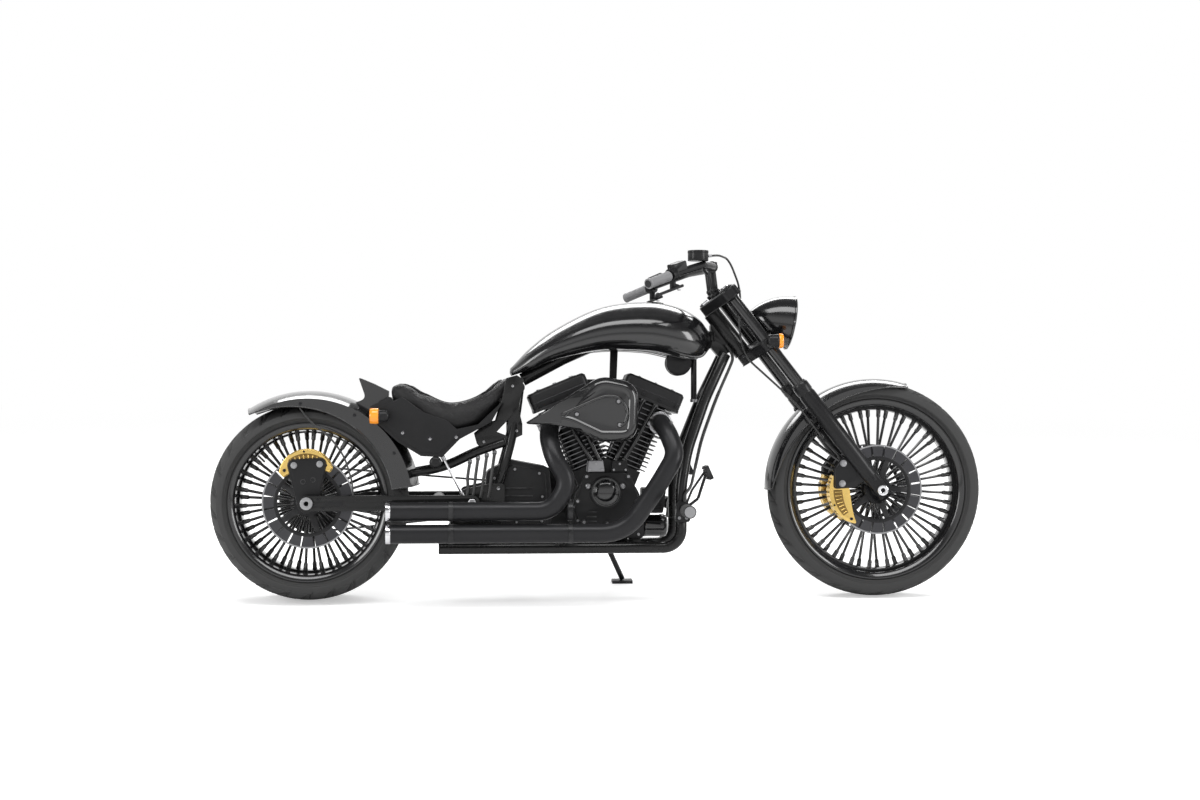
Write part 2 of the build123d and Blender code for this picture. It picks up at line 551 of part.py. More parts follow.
def engine():
    """Air-cooled V-twin: case, barrels, heads, rocker boxes, pushrods, intake."""
    pieces = {}
    case = disc(CRANK_X, CRANK_Z, 118, -CASE_HALF, CASE_HALF)
    decks, rockers = [], []
    # Carburettor outside the V, its manifold between the heads
    port_z = 600
    body = rod((CRANK_X, -INTAKE_Y, port_z), (CRANK_X, -82, port_z), 33)
    neck = rod((CRANK_X, -83, port_z), (CRANK_X, -20, port_z), 20)
    runner = rod((CRANK_X - 62, -30, port_z), (CRANK_X + 62, -30, port_z), 20)
    room = rod((CRANK_X, -83, port_z), (CRANK_X, -20, port_z), 20 + FIT) + rod(
        (CRANK_X - 62 - FIT, -30, port_z), (CRANK_X + 62 + FIT, -30, port_z), 20 + FIT)
    for name, lean in (("front", 1), ("rear", -1)):
        bank = cylinder_plane(lean)
        far_side = Pos(CRANK_X - lean * (200 - FIT / 2), 0, 500) * Box(400, 400, 600)
        decks.append(bank * Pos(0, 0, DECK / 2) * Box(124, 2 * CASE_HALF - 14, DECK))
        barrel = finned(DECK + FIT, BARREL_TOP, BARREL_FINS, FIN_LONG, FIN_WIDE, 112, 112)
        head = finned(BARREL_TOP + FIT, HEAD_TOP, HEAD_FINS, HEAD_LONG, FIN_WIDE, 130, 116)
        box_low = HEAD_TOP + FIT
        rocker = Pos(0, 0, (box_low + ROCKER_TOP) / 2) * Box(
            ROCKER_LONG, ROCKER_WIDE, ROCKER_TOP - box_low)
        rocker = fillet(rocker.edges().filter_by(Axis.Z), 22)
        rocker = chamfer(rocker.faces().sort_by(Axis.Z)[-1].edges(), 8)
        pieces[f"cylinder_{name}"] = [bank * barrel - far_side - room, bank * head - room]
        rockers.append(bank * rocker)
    pieces["rocker_boxes"] = rockers
    sump = slab([(880, CASE_LOW), (CASE_FRONT, CASE_LOW), (CASE_FRONT, 334), (866, 334)],
                -CASE_HALF + 4, CASE_HALF - 4, 12)
    pieces["crankcase"] = case.fuse(*decks, sump)
    # Timing cover on the right: plate and nose
    cover = slab([(900, 250), (1085, 250), (1104, 330), (1066, TIMING_TOP), (918, TIMING_TOP), (880, 330)],
                 -CASE_HALF - 34, -CASE_HALF - FIT, 40)
    cover += disc(CRANK_X - 6, CRANK_Z + 50, 52, -CASE_HALF - 52, -CASE_HALF - 30)
    pieces["timing_cover"] = cover
    # Lifter blocks and pushrod tubes, two to a cylinder: foot x, head distance along the bank
    tubes = []
    for foot_x, lean in ((954, -1), (1034, 1)):
        foot_z, y = 455, -CASE_HALF - 14
        tubes.append(slab([(foot_x - 30, TIMING_TOP + FIT), (foot_x + 30, TIMING_TOP + FIT),
                           (foot_x + 24, foot_z + 12), (foot_x - 24, foot_z + 12)], y - 12, y + 12, 5))
        for shift in (-14, 14):
            top = cylinder_plane(lean).from_local_coords(Vector(shift * 1.6, y, HEAD_TOP - 2 * FIT))
            tubes.append(rod((foot_x + shift, y, foot_z + 12 + FIT), top, 7.5))
    pieces["pushrod_tubes"] = tubes
    pieces["carburettor"] = body + neck + runner
    # Teardrop air cleaner, tail to the rear
    tear = FilletPolyline((704, 590), (962, 748), (1090, 724), (1082, 532), (955, 532), (850, 582),
                          radius=[6, 80, 75, 60, 60, 100], close=True)
    back = -INTAKE_Y - FIT
    body = extrude(side_plane(back) * make_face(tear), amount=CLEANER_DEEP)
    inner = slab([(800, 602), (970, 690), (1046, 676), (1040, 590), (960, 586), (880, 606)],
                 back - CLEANER_DEEP - 1, back - CLEANER_DEEP + 6, 14)
    pieces["air_cleaner"] = fillet(body.faces().sort_by(Axis.Y)[0].edges(), 10) - inner
    return pieces


def exhaust():
    """Two pipes that sweep down the right side and run back one above the other."""
    pipes = []
    port_y = -FIN_WIDE / 2 - FIT
    # x, y, z of each centreline from the port back
    upper = [(800, port_y, 586), (800, -118, 586), (792, -166, 546), (806, -216, 480),
             (856, -PIPE_Y, 398), (800, -PIPE_Y, 305), (258, -PIPE_Y, 305)]
    lower = [(1172, port_y, 592), (1172, -118, 592), (1188, -168, 562), (1212, -214, 490),
             (1140, -PIPE_Y, 372), (1040, -PIPE_Y, 232), (258, -PIPE_Y, 232)]
    for route in (upper, lower):
        pipe = tube(route, PIPE_R)
        end = Vector(*route[-1])
        pipe -= rod(end - Vector(1, 0, 0), end + Vector(150, 0, 0), PIPE_R - PIPE_WALL)
        pipes.append(pipe)
    return {"exhaust_pipes": pipes}


def drive():
    """Gearbox, primary cover and belt on the left."""
    pieces = {}
    box = slab([(576, GEARBOX_LOW), (800, GEARBOX_LOW), (812, 300), (800, 445), (668, 470), (590, 430)],
               -74, 74, 24)
    case = hull([(CRANK_X, CRANK_Z, 112), (GEAR_X, GEAR_Z, 108)])
    cover = extrude(side_plane(PRIMARY_OUT) * case, amount=PRIMARY_OUT - PRIMARY_IN)
    cover = fillet(cover.faces().sort_by(Axis.Y)[-1].edges(), 16)
    pieces["primary_cover"] = [cover, disc(CRANK_X, CRANK_Z, 96, CASE_HALF + FIT, PRIMARY_IN - FIT)]
    pulley = disc(GEAR_X, GEAR_Z, FRONT_PULLEY_R, BELT_IN, BELT_IN + BELT_WIDE)
    pieces["gearbox"] = box + disc(GEAR_X, GEAR_Z, 24, 70, BELT_IN + 2) + pulley

    def loop(gap):
        rounds = [(0, REAR_R, REAR_PULLEY_R + gap), (GEAR_X, GEAR_Z, FRONT_PULLEY_R + gap)]
        return across(hull(rounds), BELT_IN, BELT_IN + BELT_WIDE)

    pieces["drive_belt"] = loop(1 + BELT_THICK) - loop(1)
    return pieces


def tank_section(half, low, high, foot):
    """Tank section: flat foot, round sides, round top."""
    tall = high - low
    waist, brow = low + tall * 0.4, low + tall * 0.72
    left = ThreePointArc((foot, low), (half, waist), (half * 0.8, brow))
    top = ThreePointArc((half * 0.8, brow), (0, high), (-half * 0.8, brow))
    right = ThreePointArc((-half * 0.8, brow), (-half, waist), (-foot, low))
    return make_face([Line((-foot, low), (foot, low)), left, top, right])


def bodywork():
    """Tank, seat and its pan, tail, rear fender, oil tank."""
    pieces = {}
    # x, half width, low z, high z, half width of the foot
    tank_rows = [(676, 34, 752, 782, 26), (740, 74, 772, 848, 50), (830, 108, 808, 914, 66),
                 (976, 144, 836, 983, 80), (1129, 160, 834, 1003, 90), (1240, 146, 812, 986, 84),
                 (1312, 104, 812, 948, 60), (1350, 44, 846, 900, 30)]
    tank = stations(tank_rows, tank_section)
    tunnel = slab([(640, 500), (640, 752), (850, 842), (1010, 912), (1420, 912), (1420, 500)],
                  -TUNNEL_HALF, TUNNEL_HALF)
    pieces["fuel_tank"] = tank - tunnel

    # Seat: x, half width, low z, high z
    seat_rows = [(272, 74, 672, 722), (318, 104, 630, 728), (380, 130, 592, 690), (466, 142, 566, 656),
                 (560, 126, 586, 678), (630, 88, 652, 734), (664, 60, 688, 758)]

    def cushion(half, low, high):
        return Pos(0, (low + high) / 2) * RectangleRounded(2 * half, high - low, (high - low) * 0.36)

    seat = stations(seat_rows, cushion)
    pieces["seat"] = seat
    # Pan and side covers: under the seat, astride the rear fender
    pan_half = REAR_FENDER_HALF + 6
    pan = slab([(205, 648), (228, 592), (296, 530), (372, 484), (442, 480), (500, 540), (604, 596),
                (640, 660), (560, 640), (466, 610), (380, 640), (300, 700), (262, 676)], -pan_half, pan_half)
    pan -= Pos(0, 0, -2 * FIT) * seat
    pan -= slab([(272, 672), (318, 632), (380, 594), (466, 568), (560, 588), (630, 654), (700, 800),
                 (200, 800)], -200, 200)
    pan -= fender_envelope()
    pieces["seat_pan"] = pan
    tail_low = 648
    tail = slab([(150, tail_low - 40), (188, tail_low), (163, 745), (214, 724), (262, 700), (262, tail_low - 40)],
                -56, 56) - fender_envelope()
    tail -= Pos(0, 0, -2 * FIT) * seat
    pieces["tail_cowl"] = tail - slab([(205, 648), (262, 676), (262, 560), (205, 560)], -200, 200)
    pieces["rear_fender"] = rear_fender()
    return pieces


def fender_profile(half, crown_r, drop, low_r):
    """Section of a fender in (radius, y): crown arc and straight sides down to low_r."""
    crown = ThreePointArc((crown_r - drop, -half), (crown_r, 0), (crown_r - drop, half))
    sides = Polyline(crown @ 1, (low_r, half), (low_r, -half), crown @ 0)
    return make_face([crown, sides])


def fender_envelope():
    """Room that the rear fender and the wheel inside it fill, with a seat's clearance."""
    crown_r = REAR_R + REAR_FENDER_GAP + FENDER_SKIN + FIT
    return turned(0, REAR_R, fender_profile(REAR_FENDER_HALF + FIT, crown_r, REAR_FENDER_DROP, 40))


def rear_fender():
    """Wide fender over the rear tyre."""
    inner_r = REAR_R + REAR_FENDER_GAP
    low_r = REAR_FLANGE_R + 6
    outside = turned(0, REAR_R, fender_profile(
        REAR_FENDER_HALF, inner_r + FENDER_SKIN, REAR_FENDER_DROP, low_r))
    inside = turned(0, REAR_R, fender_profile(
        REAR_FENDER_HALF - FENDER_SKIN, inner_r, REAR_FENDER_DROP, low_r - 1))
    reach = crescent(0, REAR_R, -REAR_FENDER_HALF - 1, REAR_FENDER_HALF + 1,
                     [(inner_r + 8, 123), (inner_r + 8, 66), (inner_r + 8, 9)],
                     [(280, 9), (296, 66), (348, 123)])
    belt_room = hull([(0, REAR_R, REAR_PULLEY_R + BELT_THICK + RUN), (GEAR_X, GEAR_Z, FRONT_PULLEY_R + 14)])
    return ((outside - inside) & reach) - across(belt_room, BELT_IN - RUN, BELT_IN + 40)


def lamps():
    """Indicators on the lower clamp and beside the seat pan, and the tail light."""
    pieces = {}
    fronts, front_lenses, rears, rear_lenses = [], [], [], []
    for side in SIDES:
        # Front: pod ahead of the clamp's outer end
        root = fork_point(0, side * (LEG_Y + STANCHION_R + CLAMP_WALL + FIT), LOW_CLAMP)
        pod = Vector(root.X - 14, side * 174, root.Z + 8)
        fronts.append(rod(pod, pod + Vector(40, 0, 0), 22) + rod(root, (root.X, side * 174, root.Z), 7))
        front_lenses.append(rod(pod + Vector(40 + FIT, 0, 0), pod + Vector(56, 0, 0), 25))
        rear = Vector(234, side * 168, 616)
        stalk = rod((252, side * (REAR_FENDER_HALF + 6 + FIT), 616), (252, side * 160, 616), 8)
        rears.append(rod(rear, rear + Vector(36, 0, 0), 20) + stalk)
        rear_lenses.append(rod(rear - Vector(FIT, 0, 0), rear - Vector(30, 0, 0), 26))
    pieces["front_indicators"] = fronts
    pieces["front_indicator_lenses"] = front_lenses
    pieces["rear_indicators"] = rears
    pieces["rear_indicator_lenses"] = rear_lenses
    return pieces


def fittings():
    """Forward controls, oil filter, regulator, horn and cross members."""
    pieces = {}
    controls = []
    for side in SIDES:
        # Peg end-on to the side, on an arm from the downtube
        low = side * (RAIL_Y + TUBE_R + FIT)
        plate = slab([(1215, 262), (1268, 262), (1262, 330), (1224, 330)],
                     low, side * (RAIL_Y + TUBE_R + 14), 10)
        bar = rod((1240, side * (RAIL_Y + TUBE_R + 14), 306), (1240, side * 246, 306), 11)
        peg = rod((1240, side * 246, 306), (1240, side * 350, 306), 20)
        # Pedal: two thin arms from the peg's bar up to a pad
        y = side * 222
        pad = Pos(1312, side * 246, 431) * Rot(0, -24, 0) * Box(14, 66, 46)
        arms = [rod((1240, y, 312), (1282, y, 344), 5), rod((1282, y, 344), (1308, y, 424), 5),
                rod((1240, y, 318), (1262, y, 372), 4), rod((1262, y, 372), (1304, y, 432), 4)]
        controls.append(plate.fuse(bar, peg, pad, *arms))
    pieces["foot_controls"] = controls
    pieces["oil_filter"] = rod((CASE_FRONT + FIT, 0, 243), (1206, 0, 243), 38)
    pieces["undertank_fittings"] = undertank()
    pieces["regulator"] = slab(
        [(CASE_FRONT + FIT, 288), (1185, 288), (1196, 372), (CASE_FRONT + FIT, 372)], -60, 60, 6)
    return pieces


def undertank():
    """Between the tank and the engine: top engine mount, horn and breather tube."""
    room = tube(SPINE, BACKBONE_R + FIT, SPINE_BENDS)
    # Foot of the mount, between the slanted inner ends of the rocker boxes
    low, low_half = 720, 56.5
    high, high_half = 740, 65
    foot = slab([(CRANK_X - low_half, low), (CRANK_X + low_half, low), (CRANK_X + high_half, high),
                 (CRANK_X - high_half, high)], -20, 20)
    post = slab([(1008, 738), (1032, 738), (1038, 880), (1012, 880)], -7, 7)
    horn = disc(1243, 796, 42, -21, 21) + slab([(1232, 830), (1254, 830), (1254, 880), (1232, 880)], -7, 7)
    breather = rod((1297, 0, 663), (1297, 0, 880), 10)
    return [foot + post - room, horn - room, breather - room]


def hoses():
    """Brake hoses and wiring that the bike holds along their whole way."""
    # From the fluid pot ahead of the bar, and down
    right = [Vector(1318.6, -212, 1145), Vector(1354, -206, 1148), Vector(1402, -112, 1142),
             Vector(1440, -74, 1062)]
    # ahead of the legs, y, height along them
    down = [(30, -60, 800), (-30, -60, 735), (-82, -66, 640), (-66, -98, 530), (-46, -112, 405),
            (-48, -108, 250), (-36, -86, 180)]
    top_x, top_z = polar(WHEELBASE, FRONT_R, 140, 163)
    end = Vector(top_x + 0.5, -85, top_z + 1)
    front = right + [fork_point(*spot) for spot in down] + [end + Vector(0.292, 0, 0.956) * 34, end]
    rear = [(-30, -127, 650), (4, -127, 602), (80, -127, 540), (122, -127, 480), (146, -134, 400),
            (150, -152.5, 362), (150, -152.5, 338)]
    wires = [(1404, -23, 856), (1430, -38, 818), (1412, -44, 775), (1366, -56, 676), (1312, -80, 536),
             (1291, -98, 452), (1272, -122, 380), (1248, -136, 352), (1248, -136, 331)]
    return {"front_hoses": tube(front, HOSE_R), "rear_hose": tube(rear, REAR_HOSE_R),
            "loom": tube(wires, LOOM_R)}


def stand():
    """Side stand on the left: eye on a slanted pin, leg and foot."""
    plane = Plane(origin=STAND_PIVOT, z_dir=STAND_AXIS)
    eye = extrude(plane * (Circle(16) - Circle(STAND_PIN_R + SHAFT_FIT)), amount=STAND_EYE / 2, both=True)
    pad_half = 5
    pad = Rot(LEAN, 0, 0) * Box(72, 46, 2 * pad_half)
    neck = rod(STAND_PIVOT + STAND_DOWN * 11, STAND_PIVOT + STAND_DOWN * 32, STAND_EYE / 2 - 0.5)
    leg = neck + rod(STAND_PIVOT + STAND_DOWN * 26, STAND_PIVOT + STAND_DOWN * STAND_LEG, 9)
    foot = STAND_PIVOT + STAND_DOWN * STAND_LEG
    middle = foot.Y * STAND_SLOPE + pad_half / cos(radians(LEAN)) - tyre_drop()
    return {"side_stand": eye + leg + Pos(foot.X, foot.Y, middle) * pad}


def stand_lug():
    """The pin of the side stand and its lug on the left rail."""
    plane = Plane(origin=STAND_PIVOT, z_dir=STAND_AXIS)
    half = STAND_EYE / 2
    pin = plane * Pos(0, 0, -half - 2) * extrude(Circle(STAND_PIN_R), amount=STAND_EYE + 4)
    head = plane * Pos(0, 0, half + SHAFT_FIT) * extrude(Circle(11), amount=5)
    lug = plane * Pos(0, 0, -half - SHAFT_FIT - 14) * extrude(Circle(18), amount=14)
    return pin.fuse(head, lug)


def tyre_drop():
    """How far the leaning rear tyre's crown reaches below its upright contact."""
    drop = REAR_HALF * 0.26
    crown_r = ((REAR_HALF - 5) ** 2 + drop ** 2) / (2 * drop)
    return crown_r * (1 - cos(radians(LEAN))) / cos(radians(LEAN))


def place(pieces):
    """Lean every piece to the left and put the origin under the middle of the whole."""
    leant = {}
    for name, body in pieces.items():
        shapes = body if isinstance(body, list) else [body]
        leant[name] = Rot(-LEAN, 0, 0) * Compound([solid for shape in shapes for solid in shape.solids()])
    box = Compound([solid for body in leant.values() for solid in body.solids()]).bounding_box()
    shift = Pos(-box.center().X, -box.center().Y, -box.min.Z)
    return {name: shift * body for name, body in leant.items()}


def main():
    os.makedirs("parts", exist_ok=True)
    pieces = {}
    for build in (wheels, fork, front_fender, headlight, handlebar, frame, swingarm, engine, exhaust, drive,
                  bodywork, lamps, fittings, hoses, stand):
        pieces.update(build())
    for name, body in place(pieces).items():
        export_step(body, f"parts/{name}.step")


main()
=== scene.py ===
"""Looks of a long low V-twin chopper that leans on its side stand.

Every piece is drawn upright in millimetres, X forward from the rear axle, Y to the rider's left,
Z up from the ground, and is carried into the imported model's frame when it is finished.
"""
import json
import logging
from dataclasses import dataclass
from enum import Enum
from math import acos, atan2, cos, degrees, hypot, pi, radians, sin, sqrt, tan
from typing import Callable, Iterable, Optional, Sequence, Union

import bmesh
import bpy
from mathutils import Matrix, Vector
from mathutils.bvhtree import BVHTree
from mathutils.kdtree import KDTree


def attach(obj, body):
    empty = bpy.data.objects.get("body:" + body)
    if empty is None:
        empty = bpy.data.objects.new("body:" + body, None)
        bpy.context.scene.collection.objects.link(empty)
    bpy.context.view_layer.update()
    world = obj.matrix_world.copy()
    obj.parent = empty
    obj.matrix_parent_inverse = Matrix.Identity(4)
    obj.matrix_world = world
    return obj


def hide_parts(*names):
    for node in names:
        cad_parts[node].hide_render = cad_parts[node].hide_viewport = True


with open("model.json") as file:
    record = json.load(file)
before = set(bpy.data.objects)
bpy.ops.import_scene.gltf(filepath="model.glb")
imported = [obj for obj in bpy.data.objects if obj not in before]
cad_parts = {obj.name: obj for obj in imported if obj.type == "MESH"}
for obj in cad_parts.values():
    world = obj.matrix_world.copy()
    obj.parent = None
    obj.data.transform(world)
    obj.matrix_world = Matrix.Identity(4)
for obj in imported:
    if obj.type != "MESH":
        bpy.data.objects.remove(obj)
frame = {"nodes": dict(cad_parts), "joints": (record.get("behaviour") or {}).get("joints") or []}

log = logging.getLogger("chopper")
logging.basicConfig(level=logging.INFO, format="%(message)s")

Point = tuple[float, float, float]
Flat = tuple[float, float]
MM = 0.001
LEAN = 6.0
LEFT, RIGHT = 1, -1
SIDES = (LEFT, RIGHT)
REAR_R, FRONT_R, WHEELBASE = 330.0, 366.0, 1918.0
FULL = 2 * pi


def joint_place(name: str) -> Vector:
    """Row position of a joint's pivot, in metres."""
    return Vector(next(j["pos_m"] for j in frame["joints"] if j["name"] == name))


LEANT = Matrix.Rotation(radians(-LEAN), 4, "X")
TO_ROW = Matrix.Translation(joint_place("rear_wheel_spin") - LEANT @ Vector((0, 0, REAR_R * MM))) @ LEANT @ (
    Matrix.Scale(MM, 4))
FROM_ROW = TO_ROW.inverted()


# ---------------------------------------------------------------- shading


class Wire:
    """A shader socket that can be used in sums: each operator adds a Math node."""

    def __init__(self, look: "Look", socket: bpy.types.NodeSocket) -> None:
        """Keep the socket and the look it belongs to."""
        self.look, self.socket = look, socket

    def _math(self, operation: str, *values: Union["Wire", float], clamp: bool = False) -> "Wire":
        """Add one Math node.

        Args:
            operation: the node's operation.
            values: its inputs.
            clamp: whether its result stays between 0 and 1.

        Returns:
            The node's result.
        """
        return self.look.node("ShaderNodeMath", {"operation": operation, "use_clamp": clamp},
                              {k: v for k, v in enumerate(values)})

    def __add__(self, other: Union["Wire", float]) -> "Wire":
        """Sum."""
        return self._math("ADD", self, other)

    def __mul__(self, other: Union["Wire", float]) -> "Wire":
        """Product."""
        return self._math("MULTIPLY", self, other)

    def __sub__(self, other: Union["Wire", float]) -> "Wire":
        """Difference."""
        return self._math("SUBTRACT", self, other)

    def __rsub__(self, other: float) -> "Wire":
        """Difference from a number."""
        return self._math("SUBTRACT", other, self)

    __radd__ = __add__
    __rmul__ = __mul__

    def power(self, exponent: float) -> "Wire":
        """Raised to a power."""
        return self._math("POWER", self, exponent)

    def wave(self) -> "Wire":
        """Sine."""
        return self._math("SINE", self)

    def floor(self) -> "Wire":
        """Whole part."""
        return self._math("FLOOR", self)

    def step(self, low: float, high: float) -> "Wire":
        """Smooth step from 0 at low to 1 at high."""
        return self.look.node("ShaderNodeMapRange", {"interpolation_type": "SMOOTHSTEP"},
                              {"Value": self, "From Min": low, "From Max": high})


class Look:
    """One material under construction, with its Principled shader."""

    def __init__(self, name: str) -> None:
        """Start an empty node material."""
        self.material = bpy.data.materials.new(name)
        self.material.use_nodes = True
        self.tree = self.material.node_tree
        self.shader = self.tree.nodes["Principled BSDF"]

    def node(self, kind: str, settings: dict, inputs: dict, out: Union[int, str] = 0) -> Wire:
        """Add any node.

        Args:
            kind: the node's type.
            settings: its properties, set before its sockets; "stops" fills a colour ramp.
            inputs: socket name or number to a number, a tuple or a Wire.
            out: which output to return.

        Returns:
            The chosen output.
        """
        made = self.tree.nodes.new(kind)
        for key, value in settings.items():
            if key == "stops":
                ramp = made.color_ramp
                while len(ramp.elements) < len(value):
                    ramp.elements.new(0.5)
                for element, (spot, colour) in zip(ramp.elements, value):
                    element.position, element.color = spot, (*colour, 1)
            else:
                setattr(made, key, value)
        for key, value in inputs.items():
            if isinstance(value, Wire):
                self.tree.links.new(value.socket, made.inputs[key])
            else:
                made.inputs[key].default_value = value
        return Wire(self, made.outputs[out])

    def place(self) -> Wire:
        """Object coordinates."""
        return self.node("ShaderNodeTexCoord", {}, {}, "Object")

    def noise(self, scale: float, detail: float = 3, at: Optional[Wire] = None) -> Wire:
        """Noise between 0 and 1.

        Args:
            scale: features a metre.
            detail: octaves.
            at: coordinates, or the piece's own.

        Returns:
            The noise's value.
        """
        return self.node("ShaderNodeTexNoise", {}, {
            "Vector": at or self.place(), "Scale": scale, "Detail": detail}, 0)

    def blend(self, factor: Union[Wire, float], one: Union[Wire, tuple], two: Union[Wire, tuple]) -> Wire:
        """Mix two colours by a factor."""
        def rgba(value: Union[Wire, tuple]) -> Union[Wire, tuple]:
            """A colour with its alpha, or a socket as it is."""
            return value if isinstance(value, Wire) else (*value, 1)
        return self.node("ShaderNodeMix", {"data_type": "RGBA"}, {0: factor, 6: rgba(one), 7: rgba(two)}, 2)

    def feed(self, **sockets: Union[Wire, float, tuple]) -> None:
        """Set or link the shader's sockets, named with underscores for spaces."""
        for key, value in sockets.items():
            target = self.shader.inputs[key.replace("_", " ")]
            if isinstance(value, Wire):
                self.tree.links.new(value.socket, target)
            else:
                target.default_value = (*value, 1) if isinstance(value, tuple) else value

    def relief(self, height: Wire, depth_mm: float) -> None:
        """Drive the shader's normal from a height.

        Args:
            height: relief from 0 to 1.
            depth_mm: how deep the relief is.
        """
        self.feed(Normal=self.node("ShaderNodeBump", {}, {
            "Strength": 1.0, "Distance": depth_mm * MM, "Height": height}))

    def edges(self, size_mm: float = 2.0) -> Wire:
        """Where the surface turns sharply outwards: 1 on edges, which get rubbed paint and a painted
        highlight.
        """
        near = self.node("ShaderNodeNewGeometry", {}, {}, "Pointiness")
        return near.step(0.5 + 0.02 * size_mm, 0.5 + 0.05 * size_mm)


class Grain(Enum):
    """What a surface's fine relief is like."""

    SMOOTH = "smooth"
    CAST = "cast"
    BRUSHED = "brushed"
    ORANGE_PEEL = "orange_peel"
    HIDE = "hide"
    RUBBER = "rubber"
    WEAVE = "weave"


@dataclass(frozen=True)
class Finish:
    """A finish that varies over the surface as the real one does, and whose convex edges can be painted
    lighter, partly as rubbed paint and partly as a painted highlight.
    """

    name: str
    colour: Point
    shade: Point = (0.0, 0.0, 0.0)
    roughness: float = 0.4
    spread: float = 0.1
    metallic: float = 0.0
    coat: float = 0.0
    grain: Grain = Grain.SMOOTH
    depth: float = 0.1
    alpha: float = 1.0
    glow: float = 0.0
    patch: float = 9.0
    # How much convex edges are painted lighter: partly rubbed paint, partly a painted highlight.
    edge_wear_and_highlight: float = 0.0
    sheen: float = 0.22

    def material(self) -> bpy.types.Material:
        """The finish's material, made once."""
        found = bpy.data.materials.get(self.name)
        return found or self._make()

    def _make(self) -> bpy.types.Material:
        """Build the node tree: broad variation, fine grain and relief."""
        look = Look(self.name)
        place = look.place()
        broad = look.noise(self.patch, 4, place)
        fine = look.noise(self.patch * 28, 3, place)
        colour = look.blend(broad * 0.7 + fine * 0.3, self.colour, self.shade)
        smear = look.noise(self.patch * 3.1, 6, place)
        # Convex edges are painted lighter: partly rubbed paint, partly a painted highlight.
        if self.edge_wear_and_highlight:
            rubbed_or_highlit = tuple(min(1.0, c * 2.2 + 0.05) for c in self.shade)
            colour = look.blend(look.edges() * smear.step(0.35, 0.6) * self.edge_wear_and_highlight, colour, rubbed_or_highlit)
        look.feed(Base_Color=colour)
        rough = smear.step(0.3, 0.75) * self.spread + (self.roughness - self.spread / 2)
        if self.grain is Grain.CAST:
            grit = look.node("ShaderNodeTexVoronoi", {"feature": "SMOOTH_F1"}, {
                "Vector": place, "Scale": 620.0})
            look.relief(grit * 0.6 + look.noise(1500, 2, place) * 0.4, self.depth)
        elif self.grain is Grain.BRUSHED:
            streak = look.node("ShaderNodeMapping", {}, {"Vector": place, "Scale": (30.0, 900.0, 900.0)})
            lines = look.noise(2.2, 4, streak)
            rough = rough + lines * 0.14
            look.relief(lines, self.depth)
        elif self.grain is Grain.ORANGE_PEEL:
            look.relief(look.noise(210, 1, place), self.depth)
        elif self.grain is Grain.HIDE:
            pores = look.node("ShaderNodeTexVoronoi", {"feature": "DISTANCE_TO_EDGE"}, {
                "Vector": place, "Scale": 520.0})
            look.relief(pores.step(0.0, 0.22) * 0.8 + look.noise(90, 3, place) * 0.5, self.depth)
        elif self.grain is Grain.RUBBER:
            look.relief(look.noise(900, 3, place), self.depth)
        elif self.grain is Grain.WEAVE:
            apart = look.node("ShaderNodeSeparateXYZ", {}, {0: place}, "X")
            height = look.node("ShaderNodeSeparateXYZ", {}, {0: place}, "Z")
            cross = (apart * 2100.0).wave() * (height * 2100.0).wave()
            look.relief(cross * 0.5 + 0.5, self.depth)
        else:
            rough = rough + fine * 0.03
        look.feed(Roughness=rough, Metallic=self.metallic, Coat_Weight=self.coat, Alpha=self.alpha)
        look.shader.inputs["Coat Roughness"].default_value = 0.06
        look.shader.inputs["Specular IOR Level"].default_value = self.sheen
        if self.glow:
            look.feed(Emission_Color=self.colour, Emission_Strength=self.glow)
        return look.material


GLOSS_BLACK = Finish("gloss_black_paint", (0.0042, 0.0042, 0.0046), (0.008, 0.008, 0.0088), 0.2, 0.07,
                     coat=0.7, grain=Grain.ORANGE_PEEL, depth=0.012, sheen=0.5)
SATIN_BLACK = Finish("satin_black_paint", (0.006, 0.006, 0.0065), (0.013, 0.013, 0.014), 0.36, 0.12,
                     coat=0.12, grain=Grain.ORANGE_PEEL, depth=0.03, edge_wear_and_highlight=0.4)
FRAME_BLACK = Finish("frame_powder_coat", (0.006, 0.006, 0.0062), (0.012, 0.012, 0.012), 0.3, 0.1, coat=0.25,
                     grain=Grain.ORANGE_PEEL, depth=0.025, edge_wear_and_highlight=0.4)
MATTE_BLACK = Finish("matte_black_panel", (0.009, 0.009, 0.0095), (0.017, 0.017, 0.018), 0.55, 0.14,
                     grain=Grain.CAST, depth=0.04)
CAST_BLACK = Finish("wrinkle_black_casting", (0.007, 0.007, 0.0072), (0.02, 0.02, 0.021), 0.46, 0.16,
                    grain=Grain.CAST, depth=0.14, coat=0.08, edge_wear_and_highlight=0.8)
FIN_BLACK = Finish("black_fin_coat", (0.009, 0.009, 0.0095), (0.022, 0.022, 0.024), 0.38, 0.14, metallic=0.2,
                   grain=Grain.CAST, depth=0.07)
EXHAUST_BLACK = Finish("ceramic_black_pipe", (0.018, 0.018, 0.019), (0.03, 0.03, 0.032), 0.33, 0.08,
                       metallic=0.35, grain=Grain.CAST, depth=0.02, patch=5.0)
CHROME = Finish("bright_chrome", (0.74, 0.74, 0.76), (0.62, 0.62, 0.65), 0.08, 0.05, metallic=1.0)
STEEL = Finish("brushed_steel", (0.42, 0.42, 0.43), (0.3, 0.3, 0.31), 0.3, 0.12, metallic=1.0,
               grain=Grain.BRUSHED, depth=0.02)
DARK_STEEL = Finish("dark_disc_steel", (0.085, 0.085, 0.09), (0.05, 0.05, 0.054), 0.34, 0.14, metallic=0.9,
                    grain=Grain.BRUSHED, depth=0.02)
FIN_EDGE = Finish("machined_fin_edge", (0.22, 0.22, 0.225), (0.12, 0.12, 0.125), 0.28, 0.1, metallic=1.0)
